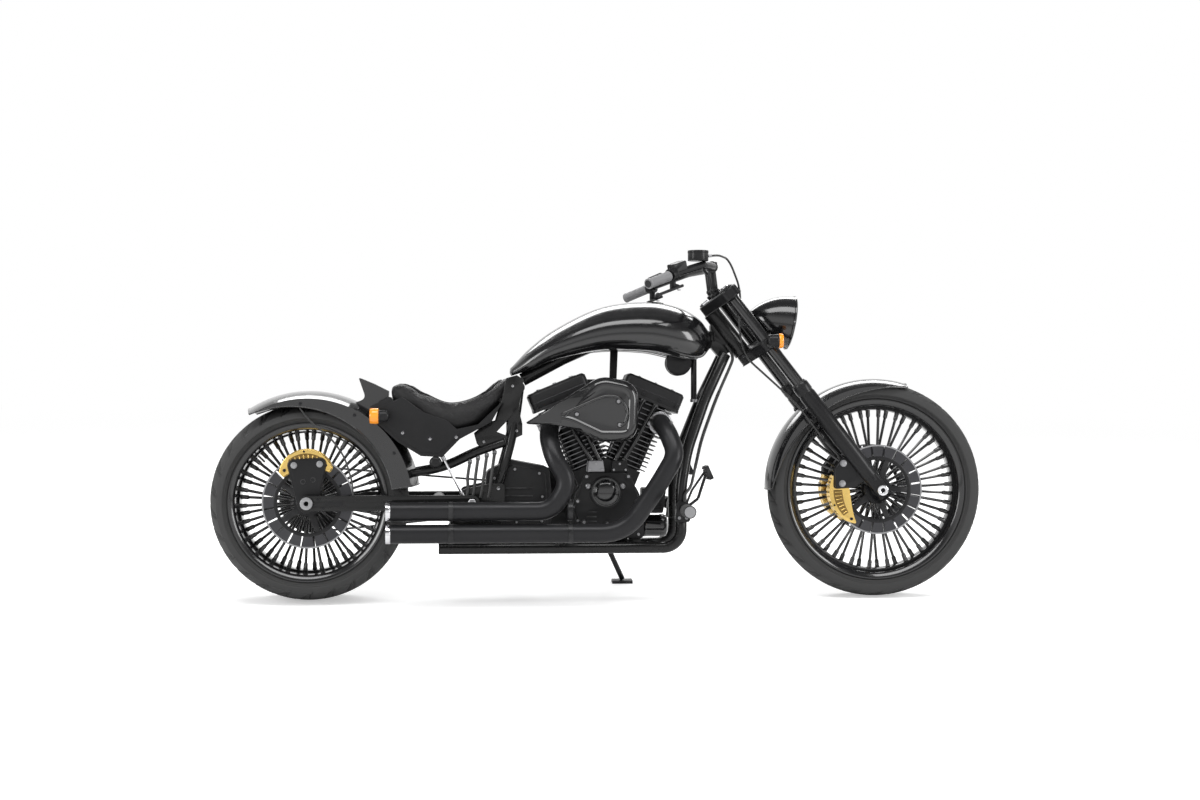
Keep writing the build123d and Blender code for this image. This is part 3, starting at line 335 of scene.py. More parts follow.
# Bright alloy for one of the two like lifter blocks: a painted highlight.
HIGHLIT_LIFTER = Finish("highlit_lifter_alloy", (0.34, 0.34, 0.35), (0.24, 0.24, 0.25), 0.42, 0.12, metallic=0.9,
                grain=Grain.CAST, depth=0.03)
BOLT = Finish("black_oxide_bolt", (0.05, 0.05, 0.053), (0.02, 0.02, 0.022), 0.32, 0.12, metallic=0.8)
GOLD = Finish("gold_anodised", (0.86, 0.62, 0.21), (0.72, 0.47, 0.12), 0.24, 0.1, metallic=1.0, coat=0.3,
              grain=Grain.CAST, depth=0.02)
BRONZE = Finish("bronze_anodised", (0.3, 0.19, 0.06), (0.16, 0.1, 0.035), 0.34, 0.12, metallic=1.0)
TYRE = Finish("tyre_rubber", (0.017, 0.017, 0.0175), (0.03, 0.03, 0.031), 0.66, 0.14, grain=Grain.RUBBER,
              depth=0.12)
RIBBED = Finish("grey_ribbed_grip", (0.17, 0.17, 0.175), (0.23, 0.23, 0.235), 0.5, 0.12, grain=Grain.RUBBER,
                depth=0.1, sheen=0.5)
GRIP = Finish("grip_rubber", (0.035, 0.035, 0.037), (0.06, 0.06, 0.062), 0.6, 0.12, grain=Grain.RUBBER,
              depth=0.1)
HOSE = Finish("hose_rubber", (0.012, 0.012, 0.0125), (0.022, 0.022, 0.023), 0.42, 0.12, grain=Grain.WEAVE,
              depth=0.05)
LEATHER = Finish("black_leather", (0.008, 0.008, 0.0085), (0.018, 0.0175, 0.018), 0.36, 0.14,
                 grain=Grain.HIDE, depth=0.22)
INLAY = Finish("textured_leather_inlay", (0.013, 0.013, 0.0135), (0.03, 0.03, 0.031), 0.5, 0.16,
               grain=Grain.HIDE, depth=0.6, patch=30.0)
THREAD = Finish("black_thread", (0.03, 0.03, 0.032), (0.045, 0.045, 0.047), 0.6, 0.1, grain=Grain.WEAVE,
                depth=0.08)
AMBER = Finish("amber_lens", (0.95, 0.36, 0.03), (0.85, 0.25, 0.015), 0.12, 0.05, coat=0.8, glow=0.12)
CLEAR = Finish("clear_lens", (0.86, 0.88, 0.9), (0.8, 0.82, 0.84), 0.04, 0.02, coat=1.0, alpha=0.22)
SILVER = Finish("lamp_reflector", (0.8, 0.8, 0.82), (0.68, 0.68, 0.7), 0.14, 0.06, metallic=1.0)

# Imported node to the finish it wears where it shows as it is
DRESS: dict[str, Finish] = {
    "front_tyre": TYRE, "rear_tyre": TYRE, "grips": GRIP, "seat": LEATHER, "fork_stanchions": CHROME,
    "front_axle": CHROME, "rear_axle": STEEL, "front_rotors": DARK_STEEL, "rear_rotor": DARK_STEEL,
    "front_calipers": GOLD, "rear_caliper": GOLD, "headlight_lens": CLEAR, "front_indicator_lenses": AMBER,
    "rear_indicator_lenses": AMBER, "drive_belt": GRIP, "exhaust_pipes": EXHAUST_BLACK,
    "fuel_tank": GLOSS_BLACK, "rear_fender": GLOSS_BLACK, "front_fender": GLOSS_BLACK,
    "front_wheel": GLOSS_BLACK, "rear_wheel": GLOSS_BLACK, "headlight_shell": GLOSS_BLACK,
    "tail_cowl": GLOSS_BLACK, "cylinder_front": FIN_BLACK, "cylinder_rear": FIN_BLACK,
    "rocker_boxes": CAST_BLACK, "crankcase": CAST_BLACK, "timing_cover": CAST_BLACK, "gearbox": CAST_BLACK,
    "primary_cover": CAST_BLACK, "carburettor": CAST_BLACK, "rear_pulley": CAST_BLACK,
    "pushrod_tubes": SATIN_BLACK, "seat_pan": MATTE_BLACK, "frame_spine": FRAME_BLACK,
    "frame_downtubes": FRAME_BLACK, "frame_rails": FRAME_BLACK, "frame_rear": FRAME_BLACK,
    "swingarm": FRAME_BLACK, "air_cleaner": SATIN_BLACK, "front_hoses": HOSE, "rear_hose": HOSE, "loom": HOSE,
}


# ---------------------------------------------------------------- shapes


def side_frame(x: float, z: float, y: float = 0.0, turn: float = 0.0, out: int = RIGHT) -> Matrix:
    """Local frame on an axis across the bike.

    Args:
        x: place forward.
        z: place up.
        y: place across.
        turn: degrees about the axis.
        out: which side local z points to.

    Returns:
        A matrix whose z axis points out to that side and x axis forward.
    """
    base = Matrix.Rotation(pi / 2, 4, "X") if out == RIGHT else Matrix.Rotation(-pi / 2, 4, "X")
    return Matrix.Translation((x, y, z)) @ base @ Matrix.Rotation(radians(turn), 4, "Z")


def aimed(place: Sequence[float], way: Sequence[float], side: Sequence[float] = (0, 1, 0)) -> Matrix:
    """Local frame at a place whose z axis points along a way.

    Args:
        place: its origin.
        way: where its z axis points.
        side: a hint for its x axis.

    Returns:
        The frame's matrix.
    """
    up = Vector(way).normalized()
    right = Vector(side) - up * Vector(side).dot(up)
    if right.length < 1e-4:
        right = up.orthogonal()
    right.normalize()
    turned = Matrix((right, up.cross(right), up)).transposed().to_4x4()
    return Matrix.Translation(Vector(place)) @ turned


class Shape:
    """A mesh that grows part by part, each part with its finish."""

    def __init__(self) -> None:
        """Start with nothing."""
        self.mesh = bmesh.new()
        self.finishes: list[Finish] = []

    def _slot(self, finish: Finish) -> int:
        """Number of the finish's material slot."""
        if finish not in self.finishes:
            self.finishes.append(finish)
        return self.finishes.index(finish)

    def _take(self, part: bmesh.types.BMesh, finish: Finish, at: Optional[Matrix] = None,
              bevel: float = 0.0, steps: int = 2, sharp: float = 35.0, flip: bool = True) -> None:
        """Fold one part into the shape.

        Args:
            part: the part's mesh, which is used up.
            finish: what it wears.
            at: its place.
            bevel: how far its sharp edges are rounded.
            steps: faces in a rounding.
            sharp: degrees from which an edge is sharp.
            flip: whether its normals are worked out again.
        """
        bmesh.ops.remove_doubles(part, verts=part.verts, dist=1e-4)
        if bevel:
            hard = [e for e in part.edges if len(e.link_faces) == 2 and
                    e.calc_face_angle(0.0) > radians(sharp)]
            bmesh.ops.bevel(part, geom=hard, offset=bevel, segments=steps, profile=0.5, affect="EDGES",
                            clamp_overlap=True)
        if flip:
            bmesh.ops.recalc_face_normals(part, faces=part.faces)
        slot = self._slot(finish)
        for face in part.faces:
            face.material_index = slot
            face.smooth = True
        if at is not None:
            part.transform(at)
        carrier = bpy.data.meshes.new("carrier")
        part.to_mesh(carrier)
        part.free()
        self.mesh.from_mesh(carrier)
        bpy.data.meshes.remove(carrier)

    def grid(self, rows: Sequence[Sequence[Sequence[float]]], finish: Finish, ring: bool = False,
             loop: bool = False, caps: bool = False, at: Optional[Matrix] = None,
             bevel: float = 0.0) -> "Shape":
        """Skin over rows of points.

        Args:
            rows: the rows, all of one length.
            finish: what it wears.
            ring: whether each row closes on itself.
            loop: whether the last row joins the first.
            caps: whether the end rows are closed with a face.
            at: its place.
            bevel: rounding of sharp edges.

        Returns:
            The shape itself.
        """
        part = bmesh.new()
        verts = [[part.verts.new(p) for p in row] for row in rows]
        wide = len(rows[0])
        for a in range(len(rows) - (0 if loop else 1)):
            one, two = verts[a], verts[(a + 1) % len(rows)]
            for b in range(wide - (0 if ring else 1)):
                part.faces.new((one[b], one[(b + 1) % wide], two[(b + 1) % wide], two[b]))
        if caps:
            part.faces.new(verts[0])
            part.faces.new(list(reversed(verts[-1])))
        self._take(part, finish, at, bevel)
        return self

    def lathe(self, profile: Sequence[Flat], finish: Finish, at: Optional[Matrix] = None, count: int = 48,
              closed: bool = False, bevel: float = 0.0, share: float = 1.0) -> "Shape":
        """Turned body about local z.

        Args:
            profile: (radius, height) points.
            finish: what it wears.
            at: its place.
            count: faces round.
            closed: whether the profile's end joins its start.
            bevel: rounding of sharp edges.
            share: part of a full turn.

        Returns:
            The shape itself.
        """
        whole = share > 0.999
        spots = count if whole else count + 1
        rows = []
        for radius, height in profile:
            rows.append([(radius * cos(FULL * share * k / count), radius * sin(FULL * share * k / count),
                          height)
                         for k in range(spots)])
        return self.grid(rows, finish, ring=whole, loop=closed, at=at, bevel=bevel)

    def prism(self, outline: Sequence[Flat], low: float, high: float, finish: Finish,
              at: Optional[Matrix] = None, bevel: float = 0.0, steps: int = 2,
              sharp: float = 35.0) -> "Shape":
        """Flat outline drawn in local x and y and raised along local z.

        Args:
            outline: its corners.
            low: where it starts.
            high: where it ends.
            finish: what it wears.
            at: its place.
            bevel: rounding of sharp edges.
            steps: faces in a rounding.
            sharp: degrees from which an edge is sharp.

        Returns:
            The shape itself.
        """
        part = bmesh.new()
        floor = [part.verts.new((x, y, low)) for x, y in outline]
        roof = [part.verts.new((x, y, high)) for x, y in outline]
        part.faces.new(floor)
        part.faces.new(roof)
        for k in range(len(outline)):
            n = (k + 1) % len(outline)
            part.faces.new((floor[k], floor[n], roof[n], roof[k]))
        self._take(part, finish, at, bevel, steps, sharp)
        return self

    def side(self, outline: Sequence[Flat], y_one: float, y_two: float, finish: Finish,
             bevel: float = 0.0, steps: int = 2, sharp: float = 35.0) -> "Shape":
        """Side-view outline of (x, z) corners carried across from one place to another."""
        low, high = sorted((y_one, y_two))
        return self.prism(outline, -high, -low, finish, side_frame(0, 0), bevel, steps, sharp)

    def block(self, size: Point, finish: Finish, at: Matrix, bevel: float = 2.0, steps: int = 2) -> "Shape":
        """Box about its frame's origin with rounded edges."""
        x, y, z = (c / 2 for c in size)
        return self.prism([(-x, -y), (x, -y), (x, y), (-x, y)], -z, z, finish, at, bevel, steps)

    def rod(self, start: Sequence[float], end: Sequence[float], radius: float, finish: Finish,
            count: int = 20, bevel: float = 0.8, top: Optional[float] = None) -> "Shape":
        """Round bar between two points, with rounded ends."""
        way = Vector(end) - Vector(start)
        tip = radius if top is None else top
        return self.lathe([(0, 0), (radius, 0), (tip, way.length), (0, way.length)], finish,
                          aimed(start, way), count, bevel=bevel)

    def tube(self, path: Sequence[Sequence[float]], radius: Union[float, Sequence[float]], finish: Finish,
             count: int = 14, caps: bool = True) -> "Shape":
        """Round skin along a path of points.

        Args:
            path: its centreline.
            radius: one radius, or one a point.
            finish: what it wears.
            count: faces round.
            caps: whether its ends are closed.

        Returns:
            The shape itself.
        """
        spots = [Vector(p) for p in path]
        radii = [radius] * len(spots) if isinstance(radius, (int, float)) else list(radius)
        ways = [(b - a).normalized() for a, b in zip(spots, spots[1:])]
        ways = [ways[0]] + [(a + b).normalized() for a, b in zip(ways, ways[1:])] + [ways[-1]]
        side = ways[0].orthogonal().normalized()
        rows = []
        for spot, way, r in zip(spots, ways, radii):
            side = (side - way * side.dot(way)).normalized()
            up = way.cross(side)
            rows.append([spot + (side * cos(FULL * k / count) + up * sin(FULL * k / count)) * r
                         for k in range(count)])
        return self.grid(rows, finish, ring=True, caps=caps)

    def bolt(self, at: Matrix, radius: float = 5.0, tall: float = 4.0, finish: Finish = BOLT,
             socket: bool = True) -> "Shape":
        """Screw head standing on its frame's origin: a socket cap, or a hexagon on a washer."""
        if socket:
            hole = radius * 0.55
            self.lathe([(radius, 0), (radius, tall * 0.8), (radius * 0.88, tall), (hole, tall),
                        (hole, tall * 0.35),
                        (0, tall * 0.35)], finish, at, 12)
        else:
            self.lathe([(radius * 1.35, 0), (radius * 1.35, tall * 0.25), (0, tall * 0.25)], finish, at, 16)
            hexagon = [(radius * 1.12 * cos(pi * k / 3), radius * 1.12 * sin(pi * k / 3)) for k in range(6)]
            self.prism(hexagon, tall * 0.2, tall * 1.15, finish, at, bevel=radius * 0.08)
        return self

    def borrow(self, node: str, finish: Finish, bevel: float = 0.0, steps: int = 2,
               sharp: float = 40.0) -> "Shape":
        """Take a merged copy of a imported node's mesh and round its sharp edges.

        Args:
            node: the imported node.
            finish: what it wears.
            bevel: rounding of its sharp edges.
            steps: faces in a rounding.
            sharp: degrees from which an edge is sharp.

        Returns:
            The shape itself.
        """
        part = bmesh.new()
        part.from_mesh(frame["nodes"][node].data)
        part.transform(FROM_ROW)
        bmesh.ops.remove_doubles(part, verts=part.verts, dist=0.01)
        bmesh.ops.dissolve_limit(part, angle_limit=radians(0.4), verts=part.verts, edges=part.edges)
        self._take(part, finish, bevel=bevel, steps=steps, sharp=sharp)
        return self

    def absorb(self, mesh: bpy.types.Mesh, finish: Finish, at: Optional[Matrix] = None) -> "Shape":
        """Fold in a finished mesh, such as a repeat's, and remove it."""
        part = bmesh.new()
        part.from_mesh(mesh)
        bpy.data.meshes.remove(mesh)
        self._take(part, finish, at, flip=False)
        return self

    def emit(self, name: str, body: str, replaces: Sequence[str] = (), slot: str = "", angle: float = 35.0,
             levels: int = 0) -> bpy.types.Object:
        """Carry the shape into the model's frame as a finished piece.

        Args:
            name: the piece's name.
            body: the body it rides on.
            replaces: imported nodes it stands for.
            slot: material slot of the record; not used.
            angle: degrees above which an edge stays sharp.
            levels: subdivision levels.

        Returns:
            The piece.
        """
        data = bpy.data.meshes.new(name)
        self.mesh.to_mesh(data)
        self.mesh.free()
        data.transform(TO_ROW)
        data.set_sharp_from_angle(angle=radians(angle))
        for finish in self.finishes:
            data.materials.append(finish.material())
        piece = bpy.data.objects.new(name, data)
        bpy.context.scene.collection.objects.link(piece)
        if levels:
            smooth = piece.modifiers.new("smooth", "SUBSURF")
            smooth.levels = smooth.render_levels = levels
        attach(piece, body)
        if replaces:
            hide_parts(*replaces)
        log.info("%-24s %-12s %7d faces", name, body, len(data.polygons))
        return piece


# ---------------------------------------------------------------- repeats


class Layout(Enum):
    """How a repeat lays out its copies."""

    RING = "ring"
    LINE = "line"
    PATH = "path"


@dataclass
class Repeat:
    """Copies of one small mesh, laid out by a geometry node tree."""

    layout: Layout
    finish: Finish
    count: int = 12
    turn: float = 0.0
    step: Point = (0.0, 0.0, 10.0)
    radius: float = 0.0

    def mesh(self, source: bpy.types.Mesh, path: Sequence[Sequence[float]] = ()) -> bpy.types.Mesh:
        """Lay out the copies.

        Args:
            source: one copy, drawn at its place for a ring and at the origin otherwise; it is used up.
            path: the points of a path layout.

        Returns:
            All copies as one plain mesh.
        """
        tree = self._tree()
        item = bpy.data.objects.new("copy", source)
        carrier_data = bpy.data.meshes.new("layout")
        carrier_data.from_pydata([tuple(p) for p in path] or [(0, 0, 0)],
                                 [(k, k + 1) for k in range(len(path) - 1)], [])
        carrier = bpy.data.objects.new("layout", carrier_data)
        for thing in (item, carrier):
            bpy.context.scene.collection.objects.link(thing)
        modifier = carrier.modifiers.new("layout", "NODES")
        modifier.node_group = tree
        values = {"Item": item, "Count": self.count, "Turn": radians(self.turn), "Step": self.step,
                  "Finish": self.finish.material()}
        for entry in tree.interface.items_tree:
            if entry.item_type == "SOCKET" and entry.in_out == "INPUT" and entry.name in values:
                modifier[entry.identifier] = values[entry.name]
        carrier.update_tag()
        bpy.context.view_layer.update()
        done = bpy.data.meshes.new_from_object(carrier.evaluated_get(bpy.context.evaluated_depsgraph_get()))
        for thing in (item, carrier):
            bpy.data.objects.remove(thing)
        bpy.data.node_groups.remove(tree)
        return done

    def _tree(self) -> bpy.types.NodeTree:
        """Build the tree of this layout, from its named inputs to Realize Instances and Set Material."""
        tree = bpy.data.node_groups.new(f"repeat_{self.layout.value}", "GeometryNodeTree")
        face = tree.interface
        face.new_socket("Geometry", in_out="INPUT", socket_type="NodeSocketGeometry")
        for label, kind in (("Item", "NodeSocketObject"), ("Count", "NodeSocketInt"),
                            ("Turn", "NodeSocketFloat"),
                            ("Step", "NodeSocketVector"), ("Finish", "NodeSocketMaterial")):
            face.new_socket(label, in_out="INPUT", socket_type=kind)
        face.new_socket("Geometry", in_out="OUTPUT", socket_type="NodeSocketGeometry")

        def add(kind: str, **inputs: object) -> bpy.types.Node:
            """Add a node and link or set its inputs."""
            node = tree.nodes.new(kind)
            for key, value in inputs.items():
                socket = node.inputs[key.replace("_", " ")]
                if isinstance(value, bpy.types.NodeSocket):
                    tree.links.new(value, socket)
                else:
                    socket.default_value = value
            return node

        given = tree.nodes.new("NodeGroupInput").outputs
        item = add("GeometryNodeObjectInfo", Object=given["Item"]).outputs["Geometry"]
        index = tree.nodes.new("GeometryNodeInputIndex").outputs[0]
        if self.layout is Layout.PATH:
            curve = add("GeometryNodeMeshToCurve", Mesh=given["Geometry"]).outputs[0]
            points = add("GeometryNodeResampleCurve", Curve=curve, Count=given["Count"]).outputs[0]
            tangent = tree.nodes.new("GeometryNodeInputTangent").outputs[0]
            aim = add("FunctionNodeAlignRotationToVector", Vector=tangent)
            aim.axis = "X"
            rotation = aim.outputs[0]
        else:
            line = tree.nodes.new("GeometryNodeMeshLine")
            tree.links.new(given["Count"], line.inputs["Count"])
            if self.layout is Layout.LINE:
                tree.links.new(given["Step"], line.inputs["Offset"])
            else:
                line.inputs["Offset"].default_value = (0, 0, 0)
            points = line.outputs[0]
            share = tree.nodes.new("ShaderNodeMath")
            share.operation = "DIVIDE"
            tree.links.new(index, share.inputs[0])
            tree.links.new(given["Count"], share.inputs[1])
            angle = tree.nodes.new("ShaderNodeMath")
            angle.operation = "MULTIPLY_ADD"
            tree.links.new(share.outputs[0], angle.inputs[0])
            angle.inputs[1].default_value = FULL if self.layout is Layout.RING else 0.0
            tree.links.new(given["Turn"], angle.inputs[2])
            spin = tree.nodes.new("ShaderNodeCombineXYZ")
            tree.links.new(angle.outputs[0], spin.inputs[2])
            rotation = add("FunctionNodeEulerToRotation", Euler=spin.outputs[0]).outputs[0]
        copies = add("GeometryNodeInstanceOnPoints", Points=points, Instance=item,
                     Rotation=rotation).outputs[0]
        real = add("GeometryNodeRealizeInstances", Geometry=copies).outputs[0]
        worn = add("GeometryNodeSetMaterial", Geometry=real, Material=given["Finish"]).outputs[0]
        tree.links.new(worn, tree.nodes.new("NodeGroupOutput").inputs[0])
        return tree


def lone(draw: Callable[[Shape], object]) -> bpy.types.Mesh:
    """One small mesh in local millimetres, for a repeat to copy."""
    shape = Shape()
    draw(shape)
    data = bpy.data.meshes.new("lone")
    shape.mesh.to_mesh(data)
    shape.mesh.free()
    return data


def ring_of(shape: Shape, draw: Callable[[Shape], object], finish: Finish, count: int, at: Matrix,
            turn: float = 0.0) -> None:
    """Repeat a small mesh round local z of a frame and fold the ring into a shape."""
    shape.absorb(Repeat(Layout.RING, finish, count, turn).mesh(lone(draw)), finish, at)


def line_of(shape: Shape, draw: Callable[[Shape], object], finish: Finish, count: int, step: Point,
            at: Matrix) -> None:
    """Repeat a small mesh along a line and fold it into a shape."""
    shape.absorb(Repeat(Layout.LINE, finish, count, 0.0, step).mesh(lone(draw)), finish, at)


def path_of(shape: Shape, draw: Callable[[Shape], object], finish: Finish, count: int,
            path: Sequence[Sequence[float]]) -> None:
    """Repeat a small mesh along a path, its local x along the path, and fold it into a shape."""
    shape.absorb(Repeat(Layout.PATH, finish, count).mesh(lone(draw), path), finish)


def eased(points: Sequence[Sequence[float]], pieces: int = 8, closed: bool = False) -> list[Vector]:
    """Points of a smooth curve through the given ones.

    Args:
        points: where it passes.
        pieces: points laid on each span.
        closed: whether it returns to its start.

    Returns:
        The curve's points.
    """
    spots = [Vector(p) for p in points]
    count = len(spots)
    line = []
    for k in range(count if closed else count - 1):
        p0 = spots[(k - 1) % count] if closed or k else spots[0] * 2 - spots[1]
        p1, p2 = spots[k], spots[(k + 1) % count]
        p3 = spots[(k + 2) % count] if closed or k + 2 < count else p2 * 2 - p1
        for step in range(pieces):
            t = step / pieces
            line.append(0.5 * (2 * p1 + (p2 - p0) * t + (2 * p0 - 5 * p1 + 4 * p2 - p3) * t * t +
                               (3 * p1 - p0 - 3 * p2 + p3) * t ** 3))
    if not closed:
        line.append(spots[-1])
    return line


def rounded(corners: Sequence[Flat], radius: Union[float, Sequence[float]], steps: int = 5) -> list[Flat]:
    """A flat outline with its corners rounded by arcs.

    Args:
        corners: the outline's corners.
        radius: one radius, or one a corner.
        steps: points on each arc.

    Returns:
        The outline's points.
    """
    count = len(corners)
    radii = [radius] * count if isinstance(radius, (int, float)) else list(radius)
    out: list[Flat] = []
    for k, r in enumerate(radii):
        here = Vector(corners[k])
        back, ahead = Vector(corners[k - 1]) - here, Vector(corners[(k + 1) % count]) - here
        half = back.angle(ahead) / 2
        reach = min(r / tan(half), back.length * 0.49, ahead.length * 0.49)
        a, b = here + back.normalized() * reach, here + ahead.normalized() * reach
        for step in range(steps + 1):
            t = step / steps
            spot = a * (1 - t) ** 2 + here * 2 * t * (1 - t) + b * t * t
            out.append((spot.x, spot.y))
    return out


# ---------------------------------------------------------------- wheels


@dataclass
class Wheel:
    """A spoked wheel with its tyre: sizes in millimetres."""

    name: str
    x: float
    radius: float
    half: float
    flange_r: float
    rim_half: float
    nipple_r: float
    hub_half: float
    flange_y: float
    tyre_wall: float = 9.0
    seat_drop: float = 13.0
    rim_wall: float = 6.0
    hub_r: float = 30.0
    hub_flange_r: float = 50.0
    bore: float = 12.9
    spokes_a_side: int = 26
    spoke_r: float = 4.9
    pitches: int = 30
    slices: int = 36
    groove: float = 5.0

    def axis(self, y: float = 0.0, turn: float = 0.0, out: int = RIGHT) -> Matrix:
        """Frame on the axle."""
        return side_frame(self.x, self.radius, y, turn, out)

    def build(self) -> None:
        """Make the tyre and the wheel."""
        self._tyre()
        self._wheel()

    def _section(self) -> list[Flat]:
        """Outer skin of the tyre, (radius, y), from one bead to the other."""
        shoulder_r, shoulder_y = self.radius - self.half * 0.26, self.half - 5
        belly_r = self.flange_r + (shoulder_r - self.flange_r) * 0.5
        bead = self.rim_half - 7.3
        crown_r = (shoulder_y ** 2 + (self.radius - shoulder_r) ** 2) / (2 * (self.radius - shoulder_r))
        crown = []
        spread = acos(1 - (self.radius - shoulder_r) / crown_r)
        for k in range(25):
            a = -spread + 2 * spread * k / 24
            crown.append((self.radius - crown_r + crown_r * cos(a), crown_r * sin(a)))
        side = [(v.x, v.y) for v in eased([
            (shoulder_r, shoulder_y, 0), (shoulder_r - 8, self.half - 2.2, 0), (belly_r, self.half - 0.6, 0),
            (self.flange_r + 14, self.half * 0.96, 0), (self.flange_r + 3, bead + 3, 0),
            (self.flange_r + 1, bead, 0)], 3)]
        other = [(r, -y) for r, y in reversed(side)]
        seat = self.flange_r - self.seat_drop + 0.3
        return [(seat, -bead)] + other[:-1] + crown + side[1:] + [(seat, bead)]

    def _tread(self, y: float, along: float) -> float:
        """Depth of the tread at a place: curved slanted grooves that alternate from side to side.

        Args:
            y: place across.
            along: place round, counted in pitches.

        Returns:
            Depth between 0 and 1.
        """
        wide = self.half - 6
        across = abs(y) / wide
        depth = 0.0
        for shift, start, end, bow, half_wide in ((0.0, 0.1, 0.98, 0.75, 0.085),
                                                  (0.5, 0.42, 1.05, 0.5, 0.06)):
            if start < across < end:
                line = shift + (0.5 if y > 0 else 0.0) + bow * (across - start) ** 1.5
                off = abs((along - line + 0.5) % 1.0 - 0.5)
                run = min(1.0, (across - start) * 9, (end - across) * 12)
                depth = max(depth, run * min(1.0, max(0.0, (half_wide - off) / 0.035)))
        return depth

    def _tyre(self) -> None:
        """Tyre with cut grooves, moulded rings on its walls and an open inside."""
        section = self._section()
        around = self.pitches * self.slices
        crown_low = self.radius - self.half * 0.26 - 14
        rows = []
        for r, y in section:
            row = []
            for k in range(around):
                angle = FULL * k / around
                deep = self._tread(y, k / self.slices) * self.groove if r > crown_low else 0.0
                size = r - deep
                row.append((size * cos(angle), size * sin(angle), -y))
            rows.append(row)
        shape = Shape()
        shape.grid(rows, TYRE, ring=True, at=self.axis())
        inner = [(r - self.tyre_wall if r > self.flange_r + 12 else r, y * (1 - self.tyre_wall / self.half))
                 for r, y in section[2:-2]]
        inner = [section[0]] + inner + [section[-1]]
        shape.lathe([(r, -y) for r, y in inner[::2] + [inner[-1]]], TYRE, self.axis(), 96)
        for side in SIDES:
            for gap in (9, 15):
                ring_r = self.flange_r + gap
                y = self._wall(ring_r)
                shape.lathe([(ring_r - 1.6, y - 1), (ring_r, y + 1.3), (ring_r + 1.6, y - 1)], TYRE,
                            self.axis(out=side), 128)
        # Valve stem on the right of the rim
        stem_r = self.nipple_r - 2
        spot = self.axis(-self.rim_half * 0.42)
        shape.rod(spot @ Vector((stem_r * cos(2.4), stem_r * sin(2.4), 0)),
                  spot @ Vector(((stem_r - 30) * cos(2.4), (stem_r - 30) * sin(2.4), 9)), 3.4, TYRE, 10)
        shape.emit(f"{self.name}_tyre_tread", f"{self.name}_wheel", [f"{self.name}_tyre"], "tyre_rubber")

    def _wall(self, r: float) -> float:
        """Half width of the tyre at a radius on its wall."""
        rows = [(a, b) for a, b in self._section() if b > self.rim_half - 8]
        for (r1, y1), (r2, y2) in zip(rows, rows[1:]):
            if min(r1, r2) <= r <= max(r1, r2) and r1 != r2:
                return y1 + (y2 - y1) * (r - r1) / (r2 - r1)
        return self.half

    def _wheel(self) -> None:
        """Rim with a deep polished lip, fat spokes with nipples, and a turned hub."""
        shape = Shape()
        seat, well = self.flange_r - self.seat_drop, self.rim_half * 0.4
        half, wall = self.rim_half, self.rim_wall
        outside = [(self.nipple_r + wall, 0), (self.nipple_r + wall, well), (seat, half - 24),
                   (seat, half - 7),
                   (self.flange_r, half - 5), (self.flange_r + 0.6, half - 2), (self.flange_r, half)]
        inside = [(self.flange_r - 3, half + 0.4), (self.flange_r - 6, half - 0.6),
                  (seat - wall + 1, half - 8),
                  (seat - wall - 2, half - 12), (seat - wall - 3, half - 26), (self.nipple_r + 4, well + 7),
                  (self.nipple_r, well), (self.nipple_r, 0)]
        one = outside + inside
        other = [(r, -y) for r, y in reversed(one)]
        shape.lathe(one[1:-1] + other[1:-1], GLOSS_BLACK, self.axis(), 144, closed=True)
        self._hub(shape)
        root, seat_y = self.hub_flange_r - 5, half * 0.22
        for side in SIDES:
            tip = self.nipple_r + 1
            low, high = Vector((root, 0, self.flange_y)), Vector((tip, 0, seat_y))
            way = (high - low).normalized()
            nip = high - way * 21

            def spoke(part: Shape, low: Vector = low, high: Vector = high, nip: Vector = nip,
                      way: Vector = way) -> None:
                """One spoke with its elbow in the flange and its nipple."""
                part.tube([low, low + way * 7, nip, nip + way * 2], [7.0, self.spoke_r, self.spoke_r,
                                                                 self.spoke_r], GLOSS_BLACK, 10)
                part.tube([nip - way * 6, nip - way * 4, nip, nip + way * 15, high], [
                    self.spoke_r, 6.6, 7.6, 7.6, 8.6], GLOSS_BLACK, 10)
            ring_of(shape, spoke, GLOSS_BLACK, self.spokes_a_side, self.axis(out=side),
                    turn=90.0 / self.spokes_a_side)
        shape.emit(f"{self.name}_spoked_wheel", f"{self.name}_wheel", [f"{self.name}_wheel"], "gloss_black")

    def _hub(self, shape: Shape) -> None:
        """Hub barrel with its flanges, and the rotor screws."""
        half, flange, collar = self.hub_half, self.flange_y, 7
        line = [(self.bore, half), (self.hub_r - 6, half), (self.hub_r - 4, half - 2)]
        line += [(self.hub_r, flange + collar + 3), (self.hub_r + 3, flange + collar), (self.hub_flange_r - 2,
                 flange + collar), (self.hub_flange_r, flange + collar - 2),
                 (self.hub_flange_r, flange - collar + 2),
                 (self.hub_flange_r - 2, flange - collar), (self.hub_r + 4, flange - collar),
                 (self.hub_r, flange - collar - 4), (self.hub_r - 3, 0)]
        whole = line + [(r, -y) for r, y in reversed(line[:-1])]
        shape.lathe(whole, SATIN_BLACK, self.axis(), 64, closed=True)
        for side in SIDES:
            def screw(part: Shape) -> None:
                """One rotor screw."""
                part.bolt(Matrix.Translation((39, 0, flange + collar)), 4.2, 4.5)
            ring_of(shape, screw, BOLT, 5, self.axis(out=side), 18)


FRONT_WHEEL = Wheel("front", WHEELBASE, FRONT_R, 65, 306, 50, 270, 58, 38)
REAR_WHEEL = Wheel("rear", 0.0, REAR_R, 121, 262, 112, 230, 82, 58, pitches=26, slices=36, groove=5.5)


# ---------------------------------------------------------------- places and outlines

RAKE = 38.0
FORK = Matrix(((cos(radians(RAKE)), 0, -sin(radians(RAKE)), WHEELBASE), (0, 1, 0, 0),
               (sin(radians(RAKE)), 0, cos(radians(RAKE)), FRONT_R), (0, 0, 0, 1)))


